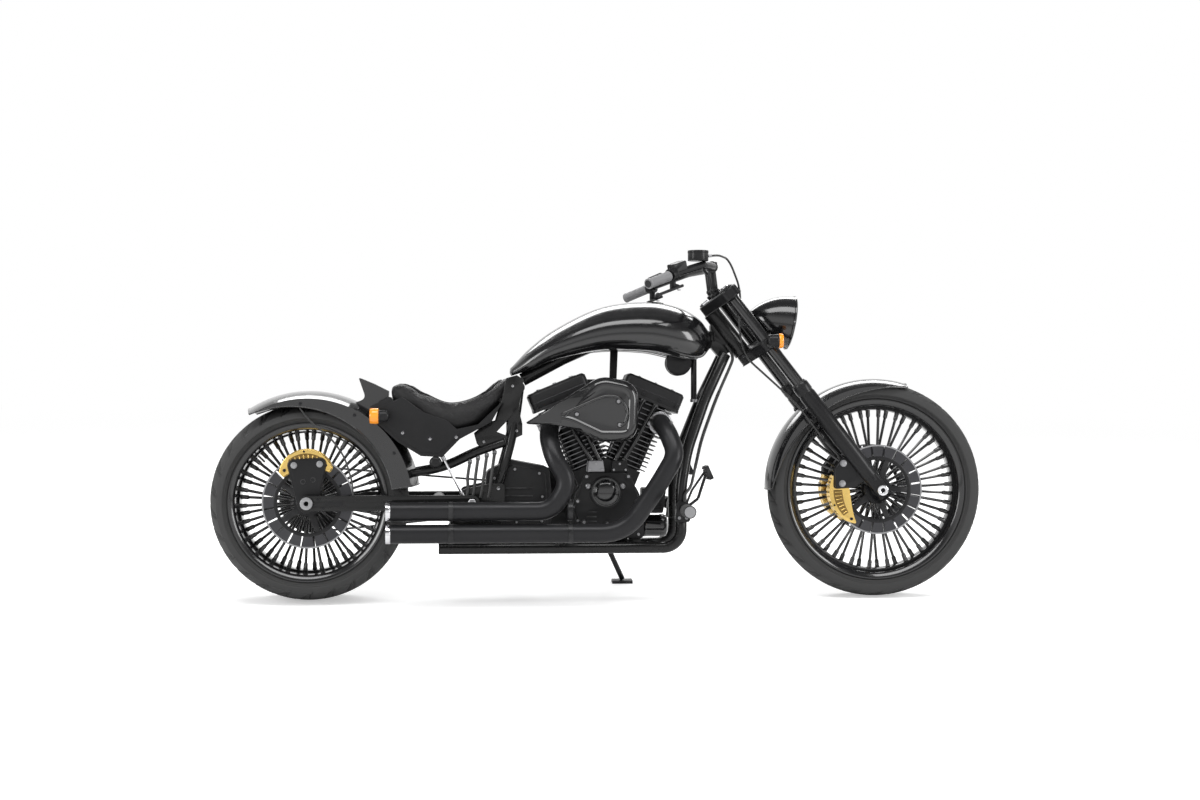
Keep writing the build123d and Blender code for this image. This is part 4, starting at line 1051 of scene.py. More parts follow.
def fork_frame(ahead: float, y: float, up: float) -> Matrix:
    """Frame on the fork: local x ahead of the legs, z up along them."""
    return FORK @ Matrix.Translation((ahead, y, up))


def polar(x: float, z: float, radius: float, angle: float) -> Flat:
    """Side-view point at an angle above the forward direction."""
    return x + radius * cos(radians(angle)), z + radius * sin(radians(angle))


def arc(one: Flat, mid: Flat, two: Flat, count: int = 12) -> list[Flat]:
    """Points of the circle through three points, from the first to the last."""
    (ax, ay), (bx, by), (cx, cy) = one, mid, two
    d = 2 * (ax * (by - cy) + bx * (cy - ay) + cx * (ay - by))
    if abs(d) < 1e-6:
        return [(ax + (cx - ax) * k / count, ay + (cy - ay) * k / count) for k in range(count + 1)]
    a, b, c = ax * ax + ay * ay, bx * bx + by * by, cx * cx + cy * cy
    ux = (a * (by - cy) + b * (cy - ay) + c * (ay - by)) / d
    uy = (a * (cx - bx) + b * (ax - cx) + c * (bx - ax)) / d
    start, middle, end = (atan2(y - uy, x - ux) for x, y in (one, mid, two))
    while middle - start > pi:
        middle -= FULL
    while middle - start < -pi:
        middle += FULL
    turn = 1 if middle > start else -1
    while (end - start) * turn < 0:
        end += FULL * turn
    r = hypot(ax - ux, ay - uy)
    return [(ux + r * cos(start + (end - start) * k / count), uy + r * sin(start + (end - start) * k / count))
            for k in range(count + 1)]


def hull(rounds: Sequence[tuple[float, float, float]], steps: int = 32) -> list[Flat]:
    """Outline stretched round circles, each (x, y, radius)."""
    spots = sorted({(round(x + r * cos(FULL * k / steps), 3), round(y + r * sin(FULL * k / steps), 3))
                    for x, y, r in rounds for k in range(steps)})

    def half(points: Iterable[Flat]) -> list[Flat]:
        """One side of the hull."""
        line: list[Flat] = []
        for p in points:
            while len(line) > 1 and (line[-1][0] - line[-2][0]) * (p[1] - line[-2][1]) - (
                    line[-1][1] - line[-2][1]) * (p[0] - line[-2][0]) <= 0:
                line.pop()
            line.append(p)
        return line[:-1]
    return half(spots) + half(reversed(spots))


def bent(points: Sequence[Sequence[float]], radii: Union[float, Sequence[float]] = 0.0,
         steps: int = 10) -> list[Vector]:
    """Straight runs joined by bends.

    Args:
        points: corners of the path.
        radii: bend radii, or 0 for as large as the runs allow.
        steps: points in each bend.

    Returns:
        The path's points.
    """
    spots = [Vector(p) for p in points]
    path = [spots[0]]
    for k in range(1, len(spots) - 1):
        back, ahead = spots[k - 1] - spots[k], spots[k + 1] - spots[k]
        turn = pi - back.angle(ahead)
        if isinstance(radii, (int, float)) and not radii:
            reach = 0.45 * min(back.length, ahead.length)
        else:
            r = radii if isinstance(radii, (int, float)) else radii[k - 1]
            reach = min(r * tan(turn / 2), 0.49 * min(back.length, ahead.length))
        a, b = spots[k] + back.normalized() * reach, spots[k] + ahead.normalized() * reach
        for step in range(steps + 1):
            t = step / steps
            path.append(a * (1 - t) ** 2 + spots[k] * 2 * t * (1 - t) + b * t * t)
    return path + [spots[-1]]


def quad(rows: Sequence[Flat], angle: float) -> float:
    """Radius at an angle on the smooth curve through three (radius, angle) points."""
    (r0, a0), (r1, a1), (r2, a2) = rows
    return (r0 * (angle - a1) * (angle - a2) / ((a0 - a1) * (a0 - a2)) +
            r1 * (angle - a0) * (angle - a2) / ((a1 - a0) * (a1 - a2)) +
            r2 * (angle - a0) * (angle - a1) / ((a2 - a0) * (a2 - a1)))


def sweep_of(x: float, z: float, rows: Sequence[Flat], count: int = 24, start: float = 0.0, end: float = 1.0,
             least: float = 0.0, inset: float = 0.0) -> list[Flat]:
    """Side-view points along a curve through three (radius, angle) points."""
    out = []
    for k in range(count + 1):
        t = start + (end - start) * k / count
        angle = rows[0][1] + (rows[2][1] - rows[0][1]) * t
        out.append(polar(x, z, max(least, quad(rows, angle) - inset), angle))
    return out


# ---------------------------------------------------------------- brakes


@dataclass
class BrakeDisc:
    """Floating brake disc: thin outer ring, dark carrier ring and blocks between narrow slots."""

    name: str
    body: str
    node: str
    x: float
    z: float
    y: float
    hub: float
    sides: tuple[int, ...]
    outer: float = 152.0
    band: float = 147.0
    inner: float = 113.0
    core: float = 101.0
    half: float = 2.5
    blocks: int = 20
    arms: int = 5

    def build(self) -> None:
        """Make each disc, its carrier and its hub."""
        shape = Shape()
        for side in self.sides:
            at = side_frame(self.x, self.z, side * self.y, out=side)
            h = self.half
            shape.lathe([(self.band, -h), (self.outer - 0.6, -h), (self.outer, -h + 0.6),
                         (self.outer, h - 0.6),
                         (self.outer - 0.6, h), (self.band, h)], STEEL, at, 144, closed=True)
            shape.lathe([(self.core, -h), (self.inner, -h), (self.inner, h), (self.inner - 1, h + 0.6),
                         (self.core + 1, h + 0.6), (self.core, h)], SATIN_BLACK, at, 144, closed=True)
            ring_of(shape, self._block, DARK_STEEL, self.blocks, at)
            ring_of(shape, self._arm, SATIN_BLACK, self.arms, at)
            ring_of(shape, self._bobbin, BOLT, 2 * self.arms, at, 18)
            ring_of(shape, self._screw, BOLT, self.arms, at, 36)
            shape.lathe([(12.9, -self.hub), (45, -self.hub), (46, 1 - self.hub), (46, h - 1), (45, h),
                         (32, h),
                         (30.5, h - 1.4), (22, h - 1.4), (20, h), (12.9, h)], SATIN_BLACK, at, 64,
                         closed=True)
        shape.emit(self.name, self.body, [self.node], "steel")

    def _block(self, part: Shape) -> None:
        """One sector between two slots."""
        spread = radians(180 / self.blocks - 1.15)
        outline = [((self.band + 0.6) * cos(spread * t), (self.band + 0.6) * sin(spread * t))
                   for t in (-1, -0.5, 0, 0.5, 1)]
        outline += [((self.inner - 0.6) * cos(spread * 0.93 * t), (self.inner - 0.6) * sin(spread * 0.93 * t))
                    for t in (1, 0.5, 0, -0.5, -1)]
        part.prism(outline, -self.half + 0.2, self.half - 0.2, DARK_STEEL, bevel=0.5, steps=1)

    def _arm(self, part: Shape) -> None:
        """One arm of the carrier."""
        h = self.half - 0.1
        part.prism([(40, -12), (self.core + 1, -7), (self.core + 1, 7), (40, 12)], -h, h, SATIN_BLACK,
                   bevel=1.0)

    def _bobbin(self, part: Shape) -> None:
        """One drive button on the carrier ring."""
        h = self.half + 1.2
        part.lathe([(2.2, -h), (4.6, -h), (5, -h + 0.5), (5, h - 0.5), (4.6, h), (2.2, h)], BOLT,
                   Matrix.Translation((107, 0, 0)), 12, closed=True)

    def _screw(self, part: Shape) -> None:
        """One hub screw."""
        part.bolt(Matrix.Translation((38, 0, self.half)), 4.2, 3.4)


@dataclass
class Caliper:
    """Gold crescent caliper astride a disc, with a ribbed bronze inset, bolts and a bleed nipple."""

    x: float
    z: float
    y: float
    side: int
    outer: list[Flat]
    inner: list[Flat]
    half: float = 26.0
    slot: float = 8.0
    slot_r: float = 158.0

    def draw(self, shape: Shape) -> None:
        """Add the caliper to a shape."""
        outline = rounded(sweep_of(self.x, self.z, self.outer, 14) + sweep_of(self.x, self.z, self.inner,
                                                                              12), 3, 2)
        for low, high in ((self.slot, self.half), (-self.half, -self.slot)):
            shape.side(outline, self.side * (self.y + low), self.side * (self.y + high), GOLD, bevel=4.0,
                       steps=3)
        spans = [k / 60 for k in range(61) if quad(self.outer, self._angle(k / 60)) > self.slot_r + 4]
        bridge = sweep_of(self.x, self.z, self.outer, 12, spans[0], spans[-1], inset=0.8)
        bridge += list(reversed(sweep_of(self.x, self.z, [(self.slot_r, a) for _, a in self.outer], 12,
                                         spans[0],
                                         spans[-1])))
        shape.side(bridge, self.side * (self.y - self.slot - 6), self.side * (self.y + self.slot + 6), GOLD,
                   bevel=1.2)
        self._face(shape)

    def _angle(self, share: float) -> float:
        """Angle at a share of the caliper's sweep."""
        return self.outer[0][1] + (self.outer[2][1] - self.outer[0][1]) * share

    def _middle(self, share: float, lift: float = 0.5) -> Flat:
        """Side-view point between the inner and the outer curve."""
        angle = self._angle(share)
        low, high = quad(self.inner, angle), quad(self.outer, angle)
        return polar(self.x, self.z, low + (high - low) * lift, angle)

    def _face(self, shape: Shape) -> None:
        """Ribbed inset, body bolts and the bleed nipple on the outer face."""
        y = self.side * (self.y + self.half)
        band = [self._middle(0.24 + 0.5 * k / 10, 0.8) for k in range(11)]
        band += [self._middle(0.74 - 0.5 * k / 10, 0.36) for k in range(11)]
        shape.side(rounded(band, 2, 2), y - self.side * 3, y + self.side * 0.6, BRONZE, bevel=0.8)
        for k in range(7):
            spot, far = self._middle(0.28 + 0.07 * k, 0.42), self._middle(0.28 + 0.07 * k, 0.74)
            shape.rod((spot[0], y, spot[1]), (far[0], y, far[1]), 1.9, GOLD, 8)
        for share, lift, size in ((0.1, 0.45, 5.6), (0.88, 0.5, 5.2), (0.5, 0.9, 3.6)):
            spot = self._middle(share, lift)
            shape.bolt(side_frame(*spot, y, out=self.side), size, 4.0, BOLT)
        spot = self._middle(0.16, 0.95)
        way = Vector((spot[0] - self.x, 0, spot[1] - self.z)).normalized()
        base = Vector((spot[0], self.side * self.y, spot[1]))
        shape.rod(base, base + way * 12, 3.2, STEEL, 10, top=2.2)


def brakes() -> None:
    """Discs and calipers of both wheels."""
    BrakeDisc("front_brake_discs", "front_wheel", "front_rotors", WHEELBASE, FRONT_R, 72, 13.7, SIDES).build()
    BrakeDisc("rear_brake_disc", "rear_wheel", "rear_rotor", 0, REAR_R, 98, 15.7, (RIGHT,)).build()
    shape = Shape()
    for side in SIDES:
        Caliper(WHEELBASE, FRONT_R, 72, side, [(166, 163), (171, 195), (141, 234)],
                [(136, 234), (104, 200), (112, 163)]).draw(shape)
    shape.emit("front_gold_calipers", "steering", ["front_calipers"], "gold")
    shape = Shape()
    Caliper(0, REAR_R, 98, RIGHT, [(137, 133), (176, 92), (140, 55)],
            [(124, 55), (112, 92), (118, 133)]).draw(shape)
    hanger = hull([(0, REAR_R, 34), (-44, REAR_R + 124, 20), (40, REAR_R + 128, 20)])
    shape.side(hanger, -124.3, -136.3, SATIN_BLACK, bevel=2.5)
    shape.lathe([(12.9, 100.6), (21, 100.6), (21, 155.7), (12.9, 155.7)], SATIN_BLACK,
                side_frame(0, REAR_R), 32, closed=True)
    for x, z in ((-44, REAR_R + 124), (40, REAR_R + 128)):
        shape.bolt(side_frame(x, z, -136.3), 8, 6, STEEL, socket=False)
    for x, z, size in ((-14, REAR_R + 70, 9), (18, REAR_R + 76, 9)):
        shape.lathe([(size - 3, -0.2), (size, -0.2), (size, 1.2), (size - 3, 1.2)], SATIN_BLACK,
                    side_frame(x, z, -136.3), 24, closed=True)
    shape.emit("rear_gold_caliper", "chassis", ["rear_caliper"], "gold")


# ---------------------------------------------------------------- fork, lamp and bars


@dataclass
class Fork:
    """Legs, clamps and axle of the long raked fork."""

    leg_y: float = 115.0
    slider_r: float = 29.0
    stanchion_r: float = 20.5
    low_clamp: float = 625.0
    high_clamp: float = 838.0
    clamp_half: float = 18.0
    top: float = 868.0

    def build(self) -> None:
        """Make sliders, stanchions, clamps and axle."""
        self._sliders()
        self._stanchions()
        self._clamps()
        self._axle()

    def _sliders(self) -> None:
        """Polished lower legs with a seal collar, a rounded foot and the caliper lug."""
        shape = Shape()
        r = self.slider_r
        for side in SIDES:
            at = fork_frame(0, side * self.leg_y, 0)
            shape.lathe([(0, 40), (r - 2, 40), (r - 1.5, 60), (r - 1.5, 92), (r, 98), (r, 408), (r - 2, 412),
                         (r - 2, 418), (r, 422), (r, 446), (r - 1, 450), (r - 4, 455),
                         (self.stanchion_r + 0.3, 455),
                         (self.stanchion_r + 0.3, 440)], SATIN_BLACK, at, 48)
            shape.lathe([(self.stanchion_r + 0.3, 453), (r - 5, 453), (r - 5, 458),
                         (self.stanchion_r + 0.3, 459)],
                        TYRE, at, 36, closed=True)
            shape.block((46, 52, 96), SATIN_BLACK, fork_frame(0, side * self.leg_y, 18), bevel=10, steps=4)
            lug = rounded([(1762, 372), (1764, 436), (1792, 478), (1850, 448), (1872, 404), (1830, 376)],
                          10, 5)
            shape.side(lug, side * 98.3, side * 119, SATIN_BLACK, bevel=3)
            for x, z in ((1786, 388), (1790, 456)):
                shape.bolt(side_frame(x, z, side * 119, out=side), 8.5, 6, STEEL, socket=False)
            face = side * (self.leg_y + 26)
            for ahead, up in ((-13, -20), (13, -20), (0, 52)):
                spot = fork_frame(ahead, 0, up).translation
                shape.bolt(side_frame(spot.x, spot.z, face, out=side), 4.6, 3.6, BOLT)
            # Pinch slit under the axle
            shape.block((1.6, 53, 16), BOLT, fork_frame(0, side * self.leg_y, -23), bevel=0.3, steps=1)
            boss = fork_frame(-r + 3, side * self.leg_y, 352)
            shape.block((10, 30, 46), SATIN_BLACK, boss, bevel=3)
            for up in (-14, 14):
                shape.bolt(aimed(fork_frame(-r - 2, side * self.leg_y, 352 + up).translation,
                                 FORK.to_3x3() @ Vector((-1, 0, 0))), 4.5, 3.5, BOLT)
        shape.emit("fork_lower_legs", "steering", ["fork_sliders"], "satin_black")

    def _stanchions(self) -> None:
        """Dark coated upper tubes with a cap nut on each."""
        shape = Shape()
        for side in SIDES:
            at = fork_frame(0, side * self.leg_y, 0)
            shape.lathe([(0, 300), (self.stanchion_r, 300), (self.stanchion_r, self.top - 8),
                         (self.stanchion_r - 1, self.top - 6), (self.stanchion_r - 1, self.top - 4),
                         (0, self.top - 4)],
                        GLOSS_BLACK, at, 48)
            hexagon = [(14.5 * cos(pi * k / 3), 14.5 * sin(pi * k / 3)) for k in range(6)]
            shape.prism(hexagon, self.top - 5, self.top, CHROME, at, bevel=1)
        shape.emit("fork_upper_tubes", "steering", ["fork_stanchions"], "bright_chrome")

    def _clamps(self) -> None:
        """Two clamps with split bosses, pinch screws and the stem nut."""
        shape = Shape()
        outline = hull([(0, self.leg_y, 32.5), (0, -self.leg_y, 32.5), (-70, 0, 25)], 40)
        shape.lathe([(0, 607), (13, 607), (13, 864), (0, 864)], STEEL, fork_frame(-70, 0, 0), 32)
        for middle in (self.low_clamp, self.high_clamp):
            low, high = middle - self.clamp_half, middle + self.clamp_half
            shape.prism(outline, low, high, SATIN_BLACK, FORK, bevel=4.5, steps=3, sharp=50)
            inset = hull([(0, self.leg_y, 24), (0, -self.leg_y, 24), (-64, 0, 17)], 32)
            shape.prism(inset, high - 0.5, high + 1.2, SATIN_BLACK, FORK, bevel=1.0, sharp=50)
            for side in SIDES:
                seat = fork_frame(0, side * self.leg_y, 0)
                shape.lathe([(21, high), (25.5, high), (25.5, high + 3), (24.5, high + 4), (21, high + 4)],
                            SATIN_BLACK, seat, 40, closed=True)
                for up in (-9, 9):
                    spot = fork_frame(26, side * (self.leg_y - 26), middle + up).translation
                    shape.bolt(aimed(spot, (0, -side, 0)), 4.6, 5, BOLT)
                shape.block((14, 40, 30), SATIN_BLACK, fork_frame(27, side * (self.leg_y - 6), middle),
                            bevel=3.5)
                shape.block((15, 1.4, 31), BOLT, fork_frame(28, side * (self.leg_y - 4), middle), bevel=0.2,
                            steps=1)
        shape.lathe([(0, 864), (13, 864), (15, 862), (19, 862), (19, 857), (0, 857)], CHROME,
                    fork_frame(-70, 0, 0), 6)
        shape.emit("fork_split_clamps", "steering", ["fork_clamps"], "satin_black")

    def _axle(self) -> None:
        """Hollow axle with a polished rounded cap at each end."""
        shape = Shape()
        at = side_frame(WHEELBASE, FRONT_R)
        shape.lathe([(8, -151), (12.5, -151), (12.5, 151), (8, 151)], STEEL, at, 32, closed=True)
        for side in SIDES:
            shape.lathe([(8, 145), (18.5, 145), (18.5, 149), (17.5, 151), (15, 152), (9.5, 152), (8, 151)],
                        CHROME,
                        side_frame(WHEELBASE, FRONT_R, out=side), 40, closed=True)
        shape.emit("front_axle_caps", "steering", ["front_axle"], "bright_chrome")


@dataclass
class Headlight:
    """Bullet lamp cut flat along the fork, with a stepped rim, a fluted reflector and a domed lens."""

    x: float = 1625.0
    z: float = 935.0
    radius: float = 90.0
    depth: float = 150.0
    dip: float = 10.0
    back: float = 38.0

    def frame(self) -> Matrix:
        """Frame at the rim whose z axis looks ahead."""
        way = Vector((cos(radians(self.dip)), 0, -sin(radians(self.dip))))
        return aimed((self.x, 0, self.z), way)

    def build(self) -> None:
        """Make shell, rim, lens and bracket."""
        at, r = self.frame(), self.radius
        shape = Shape()
        profile = arc((0.01, -self.depth), (r * 0.76, -self.depth * 0.52), (r - 0.5, -2), 30)
        profile += [(r, 0), (r - 3, 0.4), (r - 6, -2), (r - 10, -14), (10, -40), (0.01, -41)]
        flat = FORK.inverted()
        rows = []
        for radius, height in profile:
            row = []
            for k in range(96):
                spot = at @ Vector((radius * cos(FULL * k / 96), radius * sin(FULL * k / 96), height))
                short = self.back - (flat @ spot).x
                if short > 0:
                    way = at.to_3x3() @ Vector((0, 0, 1))
                    spot = spot + way * (short / (flat.to_3x3() @ way).x)
                row.append(spot)
            rows.append(row)
        shape.grid(rows, GLOSS_BLACK, ring=True)
        shape.lathe([(r - 6, 0.3), (r + 1.5, 0.3), (r + 3, 1.8), (r + 3, 6), (r + 1, 8.6), (r - 2.5, 10.3),
                     (r - 6, 10.3)], GLOSS_BLACK, at, 112, closed=True)
        shape.lathe([(r - 7.5, 9), (r - 5, 10.1), (r - 6, 11.2), (r - 8, 10)], CHROME, at, 112, closed=True)
        shape.lathe([(r - 8.5, -2), (r - 20, -18), (r - 50, -34), (20, -38), (14, -38)], SILVER, at, 96)
        shape.lathe([(0, -26), (13, -27), (14, -38)], CHROME, at, 32)
        ring_of(shape, self._flute, SILVER, 36, at)
        shape.block((22, 44, 90), SATIN_BLACK, fork_frame(26, 0, 688.5), bevel=4)
        for y in (-12, 12):
            shape.bolt(aimed(fork_frame(15, y, 660).translation, FORK.to_3x3() @ Vector((-1, 0, 0))), 4.5,
                       3.5, BOLT)
        way = at.to_3x3() @ Vector((0, 0, 1))
        for side in SIDES:
            shape.bolt(aimed(at @ Vector((0, 0, 0)) + Vector((0, side * (r + 2.6), 0)) + way * 4,
                             (0, side, 0)),
                       3.2, 2.4, STEEL)
        shape.emit("headlight_bullet", "steering", ["headlight_shell"], "gloss_black")
        lens = Shape()
        dome = arc((0.01, 9.4), (r * 0.5, 7.6), (r - 8.6, 1.5), 16)
        lens.lathe(dome + [(r - 8.6, -1)] + [(a, b - 3) for a, b in reversed(dome)], CLEAR, at, 96)
        lens.emit("headlight_glass", "steering", ["headlight_lens"], "lamp_glass")

    def _flute(self, part: Shape) -> None:
        """One rib of the reflector."""
        r = self.radius
        part.tube([(r - 12, 0, -7), (r - 30, 0, -23), (r - 60, 0, -33)], [1.4, 1.6, 0.6], SILVER, 6)


@dataclass
class Handlebar:
    """Swept-back bar on risers, with grips and bar ends."""

    radius: float = 12.7
    grip_r: float = 17.0
    right: tuple[Point, ...] = ((1352, -90, 1120), (1302, -205, 1116), (1202, -298, 1081), (1099, -390, 1039))
    bends: tuple[float, ...] = (60, 90, 90, 90, 90, 60)

    def build(self) -> None:
        """Make bar, risers and grips."""
        shape = Shape()
        corners = [(x, -y, z) for x, y, z in reversed(self.right)] + list(self.right)
        shape.tube(bent(corners, self.bends, 12), self.radius, SATIN_BLACK, 24)
        for side in SIDES:
            foot = fork_frame(-28, side * 42, 865.3).translation
            top = Vector((1352, side * 42, 1120))
            way = (top - foot).normalized()
            shape.rod(foot, top - way * 6, 13, SATIN_BLACK, 32, 1.5)
            shape.rod(foot + way * 6, foot + way * 16, 15.5, SATIN_BLACK, 32, 2.0)
            shape.lathe([(0, 856.3), (18, 856.3), (18, 866), (15, 869), (0, 869)], SATIN_BLACK,
                        fork_frame(-28, side * 42, 0), 36, bevel=0.8)
            hold = aimed(top, (0, 1, 0), way)
            shape.lathe([(self.radius, -16), (19, -16), (20, -15), (20, 15), (19, 16), (self.radius, 16)],
                        SATIN_BLACK, hold, 36, closed=True)
            for along in (-9, 9):
                shape.bolt(aimed(top + Vector((14, along, 13.5)), (0.7, 0, 0.7)), 4, 4, BOLT)
        shape.emit("handlebar_and_risers", "steering", ["handlebar"], "satin_black")
        grips = Shape()
        for side in SIDES:
            inner, outer = [Vector((x, -side * y, z)) for x, y, z in self.right[2:]]
            way = (outer - inner).normalized()
            start, end = inner + way * 41, outer - way * 2
            at = aimed(start, end - start)
            long = (end - start).length
            r = self.grip_r
            profile = [(self.radius + 0.3, 0), (r, 0), (r, 5), (r - 1.5, 7)]
            while profile[-1][1] < long - 16:
                h = profile[-1][1]
                profile += [(r - 1.5, h + 1.2), (r - 0.7, h + 2), (r - 0.7, h + 5), (r - 1.5, h + 6)]
            profile += [(r - 1.5, long - 8), (r, long - 6), (r, long), (r - 3, long)]
            grips.lathe(profile + [(self.radius + 0.3, long)], RIBBED, at, 48, closed=True)
            grips.lathe([(0, long - 6), (5.5, long - 6), (5.5, long + 1), (r - 2.5, long + 1),
                         (r - 2.5, long - 1)],
                        STEEL, at, 40)
        grips.emit("ribbed_grips", "steering", ["grips"], "grip_rubber")


@dataclass
class Controls:
    """Brake and clutch units, levers, switch blocks and the fluid pot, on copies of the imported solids."""

    def build(self) -> None:
        """Round the units' edges and add lids, screws, switches and hose ends."""
        shape = Shape().borrow("hand_controls", SATIN_BLACK, 1.6)
        for side in SIDES:
            inner, outer = [Vector((x, -side * y, z)) for x, y, z in BARS.right[2:]]
            way = (outer - inner).normalized()
            at = Matrix.Translation(inner - way * 4 + Vector((0, 0, 19))) @ aimed(
                (0, 0, 0), way.cross(Vector((0, 0, 1))).normalized(), way)
            lid = at @ Matrix.Rotation(-pi / 2, 4, "X")
            shape.block((56, 32, 3), SATIN_BLACK, lid @ Matrix.Translation((0, 0, 13.8)), bevel=1.2)
            for a in (-22, 22):
                shape.bolt(lid @ Matrix.Translation((a, 0, 15.0)), 3, 1.4, STEEL)
            collar = aimed(inner + way * 12, way)
            shape.lathe([(22, 4), (22.8, 4), (22.8, 6), (22, 6)], BOLT, collar, 40, closed=True)
            shape.lathe([(22, 16), (22.8, 16), (22.8, 18), (22, 18)], BOLT, collar, 40, closed=True)
            for a in (-0.5, 0.5):
                spot = collar @ Vector((22 * sin(a), -22 * cos(a), 11))
                shape.bolt(aimed(spot, spot - (collar @ Vector((0, 0, 11)))), 3.2, 1.6, BOLT)
            root = inner + way * 19 + Vector((20, 0, -40))
            shape.bolt(aimed(root + Vector((0, 0, -8)), (0, 0, -1)), 5, 3, STEEL, socket=False)
        pot = Vector((1284, -212, 1144.3))
        shape.lathe([(30, 17), (34.4, 17), (34.6, 15), (34.6, 10), (34, 9)], SATIN_BLACK,
                    Matrix.Translation(pot), 48)
        ring_of(shape, lambda part: part.bolt(Matrix.Translation((26, 0, 17.6)), 2.6, 1.2, STEEL), STEEL, 4,
                Matrix.Translation(pot), 45)
        shape.rod(pot + Vector((34.2, 0, 0.7)), pot + Vector((45, 1, 1.7)), 5, STEEL, 12)
        shape.emit("levers_and_switches", "steering", ["hand_controls"], "satin_black")


BARS = Handlebar()


# ---------------------------------------------------------------- bodywork


def between(rows: Sequence[Sequence[float]], x: float) -> list[float]:
    """Values of a table at a place between two of its rows, after its first column."""
    for one, two in zip(rows, rows[1:]):
        if one[0] <= x <= two[0]:
            t = (x - one[0]) / (two[0] - one[0])
            return [a + (b - a) * t for a, b in zip(one[1:], two[1:])]
    return list(rows[0][1:] if x < rows[0][0] else rows[-1][1:])


@dataclass
class Tank:
    """Long teardrop tank astride the backbone, with its welded seam and a flush filler."""

    # x, half width, low z, high z, half width of the foot
    rows: tuple[tuple[float, ...], ...] = (
        (676, 34, 752, 782, 26), (740, 74, 772, 848, 50), (830, 108, 808, 914, 66), (976, 144, 836, 983, 80),
        (1129, 160, 834, 1003, 90), (1240, 146, 812, 986, 84), (1312, 104, 812, 948, 60),
        (1350, 44, 846, 900, 30))
    tunnel: tuple[Flat, ...] = ((640, 752), (850, 842), (1010, 912), (1420, 912))
    tunnel_half: float = 28.0

    def build(self) -> None:
        """Make the skin, the seam and the filler."""
        shape = Shape()
        one = eased([(x, half, low) for x, half, low, _, _ in self.rows], 10)
        two = eased([(x, high, foot) for x, _, _, high, foot in self.rows], 10)
        sections = []
        for a, b in zip(one, two):
            sections.append(self._section(a.x, a.y, a.z, b.y, b.z))
        shape.grid([self._shrunk(sections[0], 0.55, -6), self._shrunk(sections[0], 0.86, -3)] + sections +
                   [self._shrunk(sections[-1], 0.86, 4), self._shrunk(sections[-1], 0.5, 7)],
                   GLOSS_BLACK, ring=True, caps=True)
        for side in SIDES:
            seam = [(a.x, side * (b.z + 4), a.z + 1.5) for a, b in zip(one, two) if 930 < a.x < 1306]
            shape.tube(seam, 3.0, GLOSS_BLACK, 10)
        self._filler(shape)
        shape.emit("teardrop_tank", "chassis", ["fuel_tank"], "gloss_black", 40)

    def _section(self, x: float, half: float, low: float, high: float, foot: float) -> list[Point]:
        """Points round one section, from the foot up one side, over and down, and through the tunnel."""
        tall = high - low
        waist, brow = low + tall * 0.4, low + tall * 0.72
        left = arc((foot, low), (half, waist), (half * 0.8, brow), 18)
        top = arc((half * 0.8, brow), (0, high), (-half * 0.8, brow), 28)
        right = [(-y, z) for y, z in reversed(left)]
        in_half = min(self.tunnel_half, foot * 0.8)
        roof = max(low + 0.5, min(between(self.tunnel, x)[0], high - 12))
        belly = [(-in_half - 2, low), (-in_half, low + 0.3), (-in_half, roof), (in_half, roof),
                 (in_half, low + 0.3), (in_half + 2, low)]
        return [(x, y, z) for y, z in left + top[1:-1] + right + belly]

    def _shrunk(self, section: Sequence[Point], size: float, along: float) -> list[Point]:
        """A section drawn in about its middle, to round the tank's ends."""
        mid = sum(p[2] for p in section) / len(section)
        return [(p[0] + along, p[1] * size, mid + (p[2] - mid) * size) for p in section]

    def _filler(self, shape: Shape) -> None:
        """Flush filler cap on the crown."""
        at = aimed((1160, 0, 998.2), (0.055, 0, 1))
        shape.lathe([(0, 4.2), (17, 4.6), (25, 4.2), (26, 3.2), (26, 1)], CHROME, at, 64)
        shape.lathe([(26.6, 0), (26.6, 3.6), (28, 4.6), (32, 4.2), (34, 2), (34, -1)], GLOSS_BLACK, at, 64)


